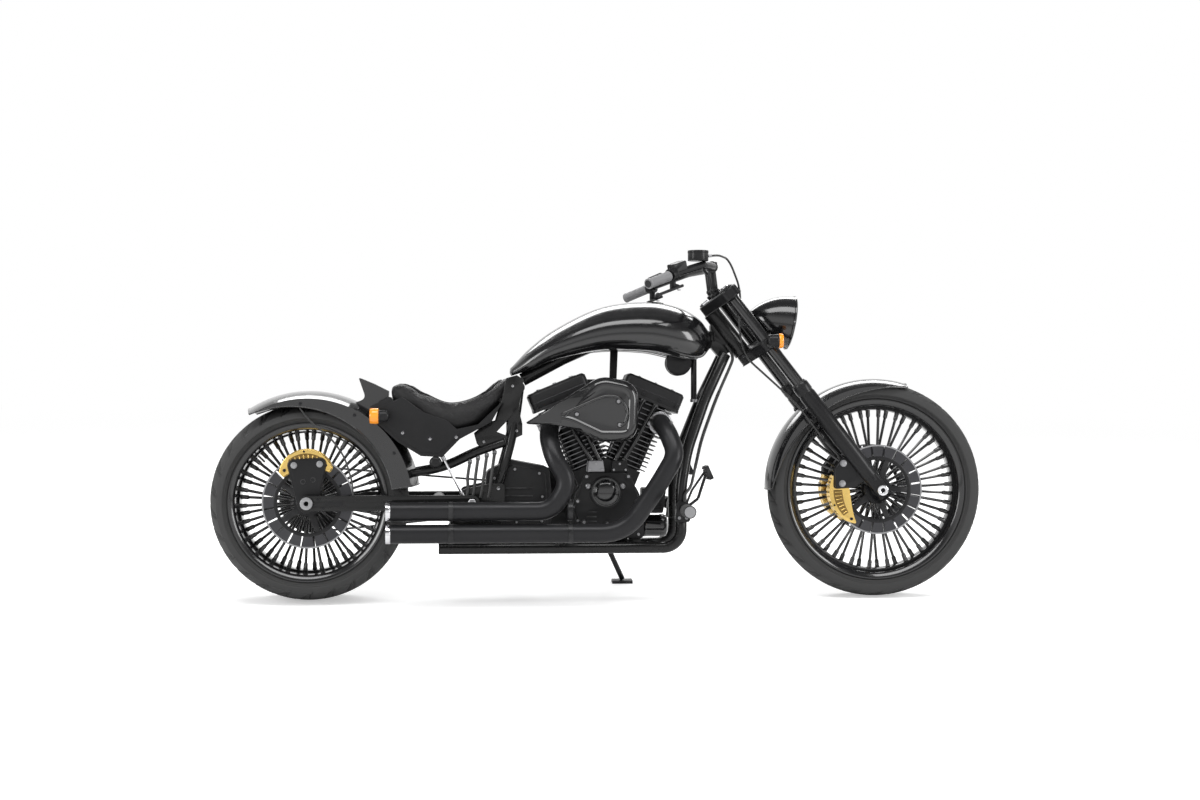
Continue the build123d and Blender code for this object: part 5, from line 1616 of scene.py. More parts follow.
@dataclass
class Seat:
    """Leather solo seat: a crowned pad swelled by a cloth run, a sewn inlay, piping and stitches."""

    # x, half width, low z, high z
    rows: tuple[tuple[float, ...], ...] = (
        (272, 74, 672, 722), (318, 104, 630, 728), (380, 130, 592, 690), (466, 142, 566, 656),
        (560, 126, 586, 678), (630, 88, 652, 734), (664, 60, 688, 758))
    shy: float = 6.0
    voxel: float = 5.0
    pressure: float = 4.0
    cap: float = 7.0
    inlay: float = 0.6

    def build(self) -> None:
        """Make pad, inlay, piping and stitches."""
        data = self._swelled(self._blank())
        path = self._seam(data)
        self._sew(data, path)
        shape = Shape()
        body = bmesh.new()
        body.from_mesh(data)
        bpy.data.meshes.remove(data)
        shape._take(body, LEATHER, flip=False)
        inlay = shape._slot(INLAY)
        for face in shape.mesh.faces:
            spot = face.calc_center_median()
            if face.normal.z > 0.2 and self._inside(spot.x, spot.y):
                face.material_index = inlay
        shape.tube(path + path[:1], 2.3, LEATHER, 10, caps=False)
        for shift in (-6.5, 6.5):
            line = self._offset(path, shift)
            path_of(shape, lambda part: part.tube([(-2.6, 0, 0), (-2.0, 0, 0.5), (0, 0, 0.9), (2.0, 0, 0.5),
                                                   (2.6, 0, 0)], [0.3, 0.6, 0.7, 0.6, 0.3], THREAD, 5),
                    THREAD, 180, line + line[:1])
        piece = shape.emit("leather_solo_seat", "chassis", ["seat"], "leather_black", 60)

    def _blank(self) -> bpy.types.Mesh:
        """The pad before it swells, slightly smaller than the space it fills."""
        spots = eased([(x, half, low) for x, half, low, _ in self.rows], 8)
        highs = eased([(x, high, 0) for x, _, _, high in self.rows], 8)
        rows = []
        for k, (a, b) in enumerate(zip(spots, highs)):
            half, low, high = a.y - self.shy, a.z + self.shy * 0.6, b.y - self.shy
            end = min(k, len(spots) - 1 - k)
            share = (0.72, 0.9, 0.98)[end] if end < 3 else 1.0
            mid, tall = (low + high) / 2, (high - low) * share
            corner = rounded([(-half * share, mid - tall / 2), (half * share, mid - tall / 2),
                              (half * share, mid + tall / 2), (-half * share, mid + tall / 2)], tall * 0.42,
                              6)
            x = a.x + (4 if k == 0 else -4 if k == len(spots) - 1 else 0)
            rows.append([(x, y, z + 5 * (1 - (y / half) ** 2) * (1 if z > mid else 0)) for y, z in corner])
        shape = Shape()
        shape.grid(rows, LEATHER, ring=True, caps=True)
        data = bpy.data.meshes.new("pad")
        shape.mesh.to_mesh(data)
        shape.mesh.free()
        data.transform(Matrix.Scale(MM, 4))
        return data

    def _swelled(self, data: bpy.types.Mesh) -> bpy.types.Mesh:
        """Remesh the pad, let cloth pressure swell it for 20 frames, cap the change and subdivide once."""
        scene = bpy.context.scene
        pad = bpy.data.objects.new("pad", data)
        scene.collection.objects.link(pad)
        remesh = pad.modifiers.new("remesh", "REMESH")
        remesh.mode, remesh.voxel_size, remesh.use_smooth_shade = "VOXEL", self.voxel * MM, True
        self._apply(pad)
        rest = [v.co.copy() for v in pad.data.vertices]
        cloth = pad.modifiers.new("cloth", "CLOTH")
        cloth.settings.quality = 2
        cloth.settings.use_pressure = True
        cloth.settings.uniform_pressure_force = self.pressure
        cloth.settings.effector_weights.gravity = 0.0
        cloth.collision_settings.use_collision = False
        for number in range(1, 21):
            scene.frame_set(number)
        self._apply(pad)
        scene.frame_set(1)
        for vertex, home in zip(pad.data.vertices, rest):
            move = vertex.co - home
            if move.length > self.cap * MM:
                vertex.co = home + move.normalized() * self.cap * MM
        sub = pad.modifiers.new("sub", "SUBSURF")
        sub.levels = sub.render_levels = 1
        self._apply(pad)
        done = pad.data
        bpy.data.objects.remove(pad)
        done.transform(Matrix.Scale(1 / MM, 4))
        return done

    def _apply(self, thing: bpy.types.Object) -> None:
        """Bake an object's modifiers into its mesh."""
        bpy.context.view_layer.update()
        baked = bpy.data.meshes.new_from_object(thing.evaluated_get(bpy.context.evaluated_depsgraph_get()))
        old = thing.data
        thing.modifiers.clear()
        thing.data = baked
        bpy.data.meshes.remove(old)

    def _inside(self, x: float, y: float) -> bool:
        """Whether a place seen from above is on the inlay."""
        if not 296 < x < 640:
            return False
        end = min(1.0, (x - 296) / 40, (640 - x) / 40)
        return abs(y) < self.inlay * between(self.rows, x)[0] * sqrt(max(0.0, 1 - (1 - end) ** 2))

    def _seam(self, data: bpy.types.Mesh) -> list[Vector]:
        """Loop round the inlay, laid on the swelled pad."""
        surface = BVHTree.FromPolygons([v.co for v in data.vertices],
                                       [tuple(p.vertices) for p in data.polygons])
        ring = []
        for k in range(120):
            angle = FULL * k / 120
            x = 468 + 172 * cos(angle)
            end = min(1.0, (x - 296) / 40, (640 - x) / 40)
            reach = self.inlay * between(self.rows, x)[0] * sqrt(max(0.0, 1 - (1 - end) ** 2))
            ring.append((x, reach * (1 if sin(angle) >= 0 else -1) * min(1.0, abs(sin(angle)) * 6)))
        loop = []
        for x, y in ring:
            hit = surface.ray_cast(Vector((x, y, 900)), Vector((0, 0, -1)))[0]
            loop.append(hit if hit is not None else Vector((x, y, between(self.rows, x)[2])))
        return loop

    def _sew(self, data: bpy.types.Mesh, path: Sequence[Vector]) -> None:
        """Draw the surface in along the seam."""
        near = KDTree(len(path) * 4)
        fine = [path[k].lerp(path[(k + 1) % len(path)], t / 4) for k in range(len(path)) for t in range(4)]
        for k, spot in enumerate(fine):
            near.insert(spot, k)
        near.balance()
        for vertex in data.vertices:
            gap = near.find(vertex.co)[2]
            if gap < 14:
                vertex.co -= vertex.normal * 3.2 * (1 - gap / 14) ** 2

    def _offset(self, path: Sequence[Vector], shift: float) -> list[Vector]:
        """The seam's loop moved sideways and down with the pad's crown."""
        middle = Vector((468, 0, 0))
        line = []
        for spot in path:
            out = Vector((spot.x, spot.y, 0)) - middle
            out = Vector((out.x * 0.35, out.y, 0)).normalized()
            line.append(spot + out * shift + Vector((0, 0, -abs(shift) * 0.1 - (1.2 if shift > 0 else 0.2))))
        return line


@dataclass
class Fender:
    """Skin over a wheel: a crowned section carried round the axle, with rolled edges."""

    name: str
    body: str
    node: str
    x: float
    z: float
    crown: float
    drop: float
    half: float
    skin: float
    edge: list[Flat]
    least: float
    span: Flat
    bead: float = 2.4

    def build(self) -> None:
        """Make the skin, its rolled edge and its stays."""
        shape = Shape()
        rows, low = [], []
        count = 72
        for k in range(count + 1):
            angle = self.span[0] + (self.span[1] - self.span[0]) * k / count
            edge = max(self.least, quad(self.edge, angle))
            outer, inner = self._line(edge, 0.0), self._line(edge, self.skin)
            way = Vector((cos(radians(angle)), 0, sin(radians(angle))))
            at = Vector((self.x, 0, self.z))
            rows.append([at + way * r + Vector((0, y, 0)) for r, y in outer + list(reversed(inner))])
            low.append((at + way * outer[0][0] + Vector((0, outer[0][1], 0)),
                        at + way * outer[-1][0] + Vector((0, outer[-1][1], 0))))
        shape.grid(rows, GLOSS_BLACK, ring=True, caps=True)
        half = len(rows[0]) // 2
        loop = [p for p, _ in low] + list(rows[-1][1:half - 1]) + [q for _, q in reversed(low)]
        loop += list(reversed(rows[0][1:half - 1]))
        shape.tube(loop + loop[:1], self.bead, GLOSS_BLACK, 8, caps=False)
        self.extras(shape)
        shape.emit(self.name, self.body, [self.node], "gloss_black", 50)

    def _line(self, edge: float, inset: float) -> list[Flat]:
        """One skin of the section, (radius, y), with the same number of points everywhere."""
        crown, half = self.crown - inset, self.half - inset
        shoulder = crown - self.drop
        curve = (half * half + self.drop * self.drop) / (2 * self.drop)
        wide = half
        if edge > shoulder:
            wide = sqrt(max(100.0, curve ** 2 - (curve - (crown - edge)) ** 2))
        top = []
        for k in range(29):
            y = -wide + 2 * wide * k / 28
            top.append((crown - curve + sqrt(curve ** 2 - y * y), y))
        foot = min(edge, shoulder - 0.5) if edge <= shoulder else top[0][0] - 0.5
        side = [(foot + (top[0][0] - foot) * k / 6, wide) for k in range(6)]
        return [(r, -y) for r, y in side] + top + [(r, y) for r, y in reversed(side)]

    def extras(self, shape: Shape) -> None:
        """Bosses and screws between the front fender and the fork, or the screws of the rear one."""
        if self.body == "steering":
            spot = fork_frame(0, 0, FRONT_R - 14).translation
            for side in SIDES:
                shape.rod((spot.x, side * (self.half - 2), spot.z), (spot.x, side * 85.7, spot.z), 10,
                          GLOSS_BLACK, 24)
                shape.bolt(side_frame(spot.x, spot.z, side * 85.7, out=side), 5, 0.1, BOLT)
                shape.bolt(side_frame(spot.x - 26, spot.z + 20, side * self.half, out=side), 5, 2.4, BOLT)
        else:
            for angle in (30, 62, 94):
                spot = polar(self.x, self.z, self.crown - self.drop - 16, angle)
                for side in SIDES:
                    shape.bolt(side_frame(*spot, side * self.half, out=side), 6, 3, BOLT)


@dataclass
class Tail:
    """Tail fin behind the seat, side panels with their screws, and the parts under the seat."""

    def build(self) -> None:
        """Make the fin and the panels."""
        shape = Shape()
        low = [polar(0, REAR_R, 363, a) for a in (45, 48, 51, 54, 57, 60, 63, 65.5)]
        outline = rounded(low + [(188, 648 + 26), (163, 745), (214, 724), (262, 700)],
                          [1] * 8 + [30, 4, 20, 3], 6)
        shape.side(outline, -56, 56, GLOSS_BLACK, bevel=7, steps=4)
        shape.emit("tail_fin", "chassis", ["tail_cowl"], "gloss_black", 40)
        shape = Shape().borrow("seat_pan", MATTE_BLACK, 2.0)
        panel = rounded([(212, 646), (234, 598), (298, 536), (374, 490), (438, 486), (490, 534), (512, 560),
                         (466, 602), (384, 630), (306, 686), (268, 668)],
                         [10, 16, 30, 26, 20, 30, 10, 60, 60, 14, 14], 6)
        middle = Vector((360, 580))
        small = [tuple(middle + (Vector(p) - middle) * 0.93) for p in panel]
        for side in SIDES:
            shape.side(small, side * 141, side * 143.6, MATTE_BLACK, bevel=1.2)
            for x, z in ((312, 560), (402, 540), (488, 546)):
                shape.lathe([(0, 0), (8.4, 0), (8.4, 1.0), (7.6, 1.6), (0, 1.6)], BOLT,
                            side_frame(x, z, side * 143.6, out=side), 24)
                shape.bolt(side_frame(x, z, side * 145.0, out=side), 5.2, 3.4, STEEL)
        shape.emit("seat_base_and_panels", "chassis", ["seat_pan"], "satin_black", 40)


def bodywork() -> None:
    """Tank, seat, fenders, tail and panels."""
    Tank().build()
    Seat().build()
    Fender("rear_fender_skin", "chassis", "rear_fender", 0, REAR_R, 370, 26, 136, 4,
           [(280, 9), (296, 66), (348, 123)], 268, (9, 123)).build()
    Fender("front_fender_skin", "steering", "front_fender", WHEELBASE, FRONT_R, 377, 27, 78, 3,
           [(362, 73), (326, 128), (362, 180)], 310, (73, 180)).build()
    Tail().build()


@dataclass
class Indicators:
    """Amber-lensed indicators with bullet bodies on stalks."""

    def build(self) -> None:
        """Make both pairs."""
        root = fork_frame(0, 0, 625).translation
        self._pair("front", "steering", Vector((root.x - 14, 174, root.z + 8)), 1, 22.0, 25.0, 40.0, 16.0,
                   (root.x, 148.2, root.z), 7.0)
        self._pair("rear", "chassis", Vector((270, 168, 616)), -1, 20.0, 26.0, 36.0, 30.0,
                   (252, 142.6, 616), 8.0)

    def _pair(self, name: str, body: str, back: Vector, ahead: int, small: float, big: float, long: float,
              deep: float, stalk: Point, stalk_r: float) -> None:
        """One indicator a side.

        Args:
            name: which pair.
            body: body they ride on.
            back: blunt end of the left body.
            ahead: direction of the lens.
            small: body radius.
            big: lens radius.
            long: body length.
            deep: lens length.
            stalk: root of the left stalk.
            stalk_r: stalk radius.
        """
        shells, lenses = Shape(), Shape()
        for side in SIDES:
            at = aimed((back.x, side * back.y, back.z), (ahead, 0, 0))
            shells.lathe([(0, 0), (small * 0.55, 1.2), (small * 0.85, 5), (small * 0.98, 11), (small, 16),
                          (small, long - 5), (small + 1.5, long - 3), (small + 1.5, long), (0, long)],
                         SATIN_BLACK, at, 48)
            root = (stalk[0], side * stalk[1], stalk[2])
            end = (stalk[0], side * (back.y - small * 0.7), stalk[2])
            shells.rod(root, end, stalk_r, SATIN_BLACK, 20, 1.0)
            lenses.lathe([(0, long + 0.3), (big - 1.5, long + 0.3), (big, long + 1.5), (big, long + deep - 6),
                          (big - 2, long + deep - 2.5), (big - 7, long + deep - 0.8), (0, long + deep)],
                         AMBER, at, 56)
            ring_of(lenses, lambda part: part.tube(
                [(big - 2, 0, long + deep - 2.6), (big * 0.55, 0, long + deep - 0.6)], 0.8, AMBER, 6),
                AMBER, 24, at)
        shells.emit(f"{name}_indicator_bodies", body, [f"{name}_indicators"], "satin_black")
        lenses.emit(f"{name}_amber_lenses", body, [f"{name}_indicator_lenses"], "amber_glass")


# ---------------------------------------------------------------- engine and drive


CRANK_X, CRANK_Z = 992.0, 312.0


@dataclass
class Engine:
    """Air-cooled V-twin with machined fin edges, covers, pushrods and lifter blocks."""

    v_half: float = 22.5
    deck: float = 150.0
    barrel_top: float = 272.0
    head_top: float = 380.0
    rocker_top: float = 446.0
    fin: float = 4.0
    case_half: float = 78.0
    fin_wide: float = 150.0
    fin_lip: float = 0.7
    fin_ease: float = 0.995
    stud_at: Flat = (52.0, 62.0)
    stud_r: float = 6.0
    cover_out: float = 34.0
    nose_out: float = 18.0
    lifter_out: float = 14.0
    rod_gap: float = 14.0
    rod_spread: float = 1.6

    def bank(self, lean: int) -> Matrix:
        """Frame of one cylinder: local z up its bore."""
        a = radians(self.v_half * lean)
        return Matrix(((cos(a), 0, sin(a), CRANK_X), (0, 1, 0, 0), (-sin(a), 0, cos(a), CRANK_Z),
                       (0, 0, 0, 1)))

    def build(self) -> None:
        """Make every piece of the engine."""
        for name, lean in (("front", 1), ("rear", -1)):
            self._cylinder(name, lean)
        self._rockers()
        self._case()
        self._timing()
        self._pushrods()
        shape = Shape().borrow("carburettor", CAST_BLACK, 1.5)
        shape.lathe([(33, -1), (34.5, -1), (34.5, 4), (33, 4)], BOLT, side_frame(CRANK_X, 600, -150), 40,
                    closed=True)
        shape.emit("carburettor_body", "chassis", ["carburettor"], "alloy_black")

    def _slab(self, long: float, wide: float, radius: float) -> list[Flat]:
        """Rounded rectangle."""
        x, y = long / 2, wide / 2
        return rounded([(-x, -y), (x, -y), (x, y), (-x, y)], radius, 7)

    def _cylinder(self, name: str, lean: int) -> None:
        """Barrel and head: a core and evenly spaced fins with bright cut edges."""
        def eased_in(row: list[Point]) -> list[Point]:
            """A fin's edge row drawn in a little."""
            return [(x * self.fin_ease, y * self.fin_ease, h * 1.05) for x, y, h in row]

        shape = Shape()
        at = self.bank(lean)
        # low, high, fins, long, core long, core wide
        for low, high, count, long, core_long, core_wide in (
                (self.deck + 0.3, self.barrel_top, 8, 158, 112, 112),
                (self.barrel_top + 0.3, self.head_top, 6, 176, 130, 116)):
            shape.prism(self._slab(core_long, core_wide, 38), low, high, FIN_BLACK, at, sharp=60)
            pitch = (high - low) / count
            start = at @ Matrix.Translation((0, 0, low + pitch / 2))
            line_of(shape, lambda part: part.prism(self._slab(long, self.fin_wide, 30), -self.fin / 2,
                                                   self.fin / 2,
                                                   FIN_BLACK, bevel=0.8, steps=1, sharp=60),
                    FIN_BLACK, count, (0, 0, pitch), start)
            lip = self.fin_lip
            rim = [[(x * (long + lip) / long, y * (self.fin_wide + lip) / self.fin_wide, h) for x,
                    y in self._slab(long, self.fin_wide, 30)]
                   for h in (-1.1, 1.1)]
            line_of(shape, lambda part: part.grid([eased_in(rim[0]), rim[0], rim[1], eased_in(rim[1])],
                                                  FIN_EDGE,
                                                  ring=True, loop=True),
                    FIN_EDGE, count, (0, 0, pitch), start)
        for x in (-self.stud_at[0], self.stud_at[0]):
            for y in (-self.stud_at[1], self.stud_at[1]):
                shape.rod(at @ Vector((x, y, self.deck + 2)), at @ Vector((x, y, self.head_top - 1)),
                          self.stud_r,
                          FIN_BLACK, 12)
        # Spark plug and its cap on the right side of the head
        plug = at @ Vector((28 * lean, -62, 322))
        shape.rod(plug, plug + Vector((0, -22, 4)), 7, STEEL, 12)
        shape.rod(plug + Vector((0, -16, 3)), plug + Vector((0, -34, 14)), 8.5, HOSE, 14, 2.5)
        shape.emit(f"finned_cylinder_{name}", "chassis", [f"cylinder_{name}"], "alloy_black", 40)

    def _rockers(self) -> None:
        """Rocker boxes with a gasket line, a raised rib and flange screws."""
        shape = Shape().borrow("rocker_boxes", CAST_BLACK, 1.2)
        for lean in (1, -1):
            at = self.bank(lean)
            low = self.head_top
            shape.prism(self._slab(209.6, 162.6, 23), low + 0.3, low + 9, CAST_BLACK, at, bevel=1.6, sharp=60)
            shape.prism(self._slab(208.2, 161.2, 22), low + 30, low + 32, BOLT, at, bevel=0.5, steps=1,
                        sharp=60)
            shape.prism(self._slab(150, 104, 18), self.rocker_top - 1, self.rocker_top + 1.6, CAST_BLACK, at,
                        bevel=1.2, sharp=60)
            for x in (-88, -30, 30, 88):
                for side in SIDES:
                    spot = at @ Vector((x, side * 81.2, low + 18))
                    shape.bolt(aimed(spot, (0, side, 0)), 5, 3.6, BOLT)
            for x in (-60, 0, 60):
                for y in (-40, 40):
                    shape.bolt(at @ Matrix.Translation((x, y, self.rocker_top + 1.2)), 4.6, 3.2, STEEL)
        shape.emit("rocker_covers", "chassis", ["rocker_boxes"], "alloy_black")

    def _case(self) -> None:
        """Crankcase with its parting flange, screws and drain plug."""
        shape = Shape().borrow("crankcase", CAST_BLACK, 2.5)
        for side in SIDES:
            at = side_frame(CRANK_X, CRANK_Z, side * self.case_half, out=side)
            shape.lathe([(101, -1), (113, -1), (113, 1.4), (111.5, 2.4), (102.5, 2.4), (101, 1.4)],
                        CAST_BLACK, at,
                        96, closed=True)
            ring_of(shape, lambda part: part.bolt(Matrix.Translation((107, 0, 2.2)), 4.6, 3.4, STEEL),
                    STEEL, 14, at)
        for x in (900, 1000, 1100):
            shape.bolt(side_frame(x, 218, -74), 5, 3.6, STEEL)
        shape.bolt(side_frame(1060, 226, -74), 9, 6, STEEL, socket=False)
        shape.emit("crankcase_castings", "chassis", ["crankcase"], "alloy_black")

    def _timing(self) -> None:
        """Timing cover with screws, nose cone, bright bolts and three raised strips below the nose."""
        shape = Shape().borrow("timing_cover", CAST_BLACK, 3.0)
        y = -self.case_half - self.cover_out
        for x, z in ((914, 262), (1076, 262), (1092, 330), (1062, 414), (922, 414), (892, 332), (992, 256)):
            shape.lathe([(0, 0), (9, 0), (9, 2.4), (8, 3.2), (0, 3.2)], CAST_BLACK, side_frame(x, z, y), 24)
            shape.bolt(side_frame(x, z, y - 3), 5.2, 3.6, STEEL)
        nose_x, nose_z, nose_y = CRANK_X - 6, CRANK_Z + 50, y - self.nose_out
        at = side_frame(nose_x, nose_z, nose_y)
        shape.lathe([(0, 17), (10, 16.4), (20, 14.6), (29, 11.4), (36, 7), (41, 1.6), (43, 0.2), (47, 0.2),
                     (47, -1)],
                    GLOSS_BLACK, at, 72)
        for dx, dz in ((-58, 20), (56, 20)):
            head = side_frame(nose_x + dx, nose_z + dz, nose_y + 18)
            shape.lathe([(0, 8), (6, 8), (9, 6), (10, 3), (10, 0), (0, 0)], STEEL, head, 24)
            shape.bolt(head @ Matrix.Translation((0, 0, 7.4)), 4, 2.4, STEEL)
        for k in range(3):
            shape.side([(nose_x - 70 + 6 * k, 262 + 16 * k), (nose_x - 30, 262 + 16 * k),
                        (nose_x - 30, 266 + 16 * k), (nose_x - 70 + 6 * k, 266 + 16 * k)], y, y - 2.2,
                        CAST_BLACK,
                       bevel=0.9)
        shape.emit("timing_cover_and_nose", "chassis", ["timing_cover"], "alloy_black")

    def _pushrods(self) -> None:
        """Lifter blocks, the rear one in satin alloy that stands as a painted highlight and the front one
        black, and telescoping pushrod tubes with collars.
        """
        shape = Shape()
        y = -self.case_half - self.lifter_out
        for foot_x, lean in ((954, -1), (1034, 1)):
            block = rounded([(foot_x - 30, 428.3), (foot_x + 30, 428.3), (foot_x + 24, 467),
                             (foot_x - 24, 467)], 6, 4)
            # The rear block is bright alloy and the front one black: a painted highlight on one of two like
            # blocks.
            shape.side(block, y - 12, y + 12, HIGHLIT_LIFTER if lean < 0 else CAST_BLACK, bevel=2.2)
            for x, z in ((foot_x - 20, 436), (foot_x + 20, 436), (foot_x, 456)):
                shape.bolt(side_frame(x, z, y - 12), 4, 3, STEEL)
            for shift in (-self.rod_gap, self.rod_gap):
                foot = Vector((foot_x + shift, y, 467.3))
                top = self.bank(lean) @ Vector((shift * self.rod_spread, y, self.head_top - 0.6))
                way = (top - foot).normalized()
                long = (top - foot).length
                shape.lathe([(0, 0), (10.5, 0), (10.5, 6), (8.6, 8), (8.6, long * 0.46), (7.2, long * 0.48),
                             (6.2, long * 0.5), (6.2, long - 16), (9, long - 12), (9.4, long), (0, long)],
                             GLOSS_BLACK,
                            aimed(foot, way), 28)
        shape.emit("pushrods_and_lifters", "chassis", ["pushrod_tubes"], "bright_chrome")


@dataclass
class AirCleaner:
    """Teardrop cleaner with a fat rounded rim, a raised inner rib and three screws."""

    back: float = -186.3
    face: float = -234.0
    outline: tuple[Flat, ...] = ((708, 590), (962, 748), (1090, 724), (1082, 532), (955, 532), (850, 582))
    radii: tuple[float, ...] = (6, 80, 75, 60, 60, 100)

    def build(self) -> None:
        """Make body, rim, rib and screws."""
        shape = Shape()
        edge = self._edge()
        rows = []
        for gap, y in ((0, self.back), (0, -212), (1.2, -220), (4.4, -228), (9.4, -234.6), (15, -239),
                       (21, -241.4),
                       (27, -241.6), (32, -239.4), (35, -236.4), (38, -235.4)):
            loop = self._even(self._inset(edge, gap) if gap else edge, 150)
            rows.append([(p.x, y, p.y) for p in loop])
        shape.grid(rows, GLOSS_BLACK, ring=True, caps=True)
        rib = eased([(829, 620), (891, 648), (957, 676), (992, 682), (1022, 674), (1041, 648), (1046, 619),
                     (1038, 594), (1024, 583)], 8)
        shape.tube([(p.x, self.face - 3.4, p.y) for p in rib],
                   [3.0] + [5.2] * (len(rib) - 2) + [3.0], GLOSS_BLACK, 16)
        for x, z in ((881, 622), (1018, 664), (1022, 587)):
            shape.lathe([(0, 0), (10, 0), (10, 1.6), (9, 2.4), (0, 2.4)], SATIN_BLACK,
                        side_frame(x, z, self.face - 1), 28)
            shape.bolt(side_frame(x, z, self.face - 3), 6.4, 4, STEEL)
        shape.lathe([(66, 0), (72, 0), (72, 6), (66, 6)], SATIN_BLACK,
                    side_frame(CRANK_X, 620, self.back + 5, out=RIGHT), 48, closed=True)
        shape.emit("teardrop_air_cleaner", "chassis", ["air_cleaner"], "satin_black", 45)

    def _edge(self) -> list[Flat]:
        """Outline with its rounded corners."""
        return rounded(list(self.outline), list(self.radii), 14)

    def _even(self, edge: Sequence[Flat], count: int) -> list[Vector]:
        """Outline as evenly spaced points that start at its tail."""
        points = [Vector(p) for p in edge]
        first = min(range(len(points)), key=lambda k: points[k].x)
        points = points[first:] + points[:first + 1]
        steps = [(b - a).length for a, b in zip(points, points[1:])]
        out, k, gone = [], 0, 0.0
        for j in range(count):
            goal = sum(steps) * j / count
            while gone + steps[k] < goal:
                gone += steps[k]
                k += 1
            out.append(points[k].lerp(points[k + 1], (goal - gone) / steps[k]))
        return out

    def _inset(self, edge: Sequence[Flat], gap: float) -> list[Flat]:
        """Outline drawn in by a gap, without the points that would cross over."""
        count = len(edge)
        middle = Vector((980, 630))
        out = []
        for k in range(count):
            way = (Vector(edge[(k + 1) % count]) - Vector(edge[k - 1]))
            if way.length < 1e-6:
                continue
            normal = Vector((way.y, -way.x)).normalized()
            spot = Vector(edge[k])
            if (spot + normal - middle).length > (spot - normal - middle).length:
                normal = -normal
            moved = spot + normal * gap
            if all((moved - Vector(p)).length > gap * 0.93 for p in edge[::3]):
                out.append((moved.x, moved.y))
        return out


@dataclass
class Exhausts:
    """Two satin pipes that sweep down and run back, with flanges, brackets and bright tips."""

    radius: float = 31.0
    wall: float = 2.5
    routes: tuple[tuple[Point, ...], ...] = (
        ((800, -75.3, 586), (800, -118, 586), (792, -166, 546), (806, -216, 480), (856, -228, 398),
         (800, -228, 305), (258, -228, 305)),
        ((1172, -75.3, 592), (1172, -118, 592), (1188, -168, 562), (1212, -214, 490), (1140, -228, 372),
         (1040, -228, 232), (258, -228, 232)))

    def build(self) -> None:
        """Make both pipes."""
        shape = Shape()
        for route in self.routes:
            path = bent(route, 0.0, 14)
            end = Vector(route[-1])
            path = path[:-1] + [end + Vector((17, 0, 0))]
            shape.tube(path, self.radius, EXHAUST_BLACK, 48, caps=False)
            at = aimed(end, (1, 0, 0))
            r = self.radius
            shape.lathe([(r - self.wall, 0.6), (r - 0.8, 0), (r + 0.8, 1.2), (r + 0.8, 15.5), (r - 0.6, 17),
                         (r - self.wall, 17), (r - self.wall, 150), (0, 150)], CHROME, at, 64)
            port = Vector(route[0])
            shape.lathe([(r - 3, 0), (r + 9, 0), (r + 9, 7), (r + 7, 9), (r, 9)], STEEL,
                        aimed(port, (0, -1, 0)), 48)
            for dx in (-36, 36):
                shape.rod(port + Vector((dx, 8, 0)), port + Vector((dx, -16, 0)), 3.6, STEEL, 10)
                shape.bolt(aimed(port + Vector((dx, -8, 0)), (0, -1, 0)), 6, 5, STEEL, socket=False)
        # Brackets that carry both pipes: x
        for x in (470, 860):
            for z in (232, 305):
                shape.lathe([(self.radius, -8), (self.radius + 1.4, -7.4), (self.radius + 1.4, 7.4),
                             (self.radius, 8)], SATIN_BLACK, aimed((x, -228, z), (1, 0, 0)), 48)
        shape.emit("twin_exhaust_pipes", "chassis", ["exhaust_pipes"], "exhaust_black", 50)


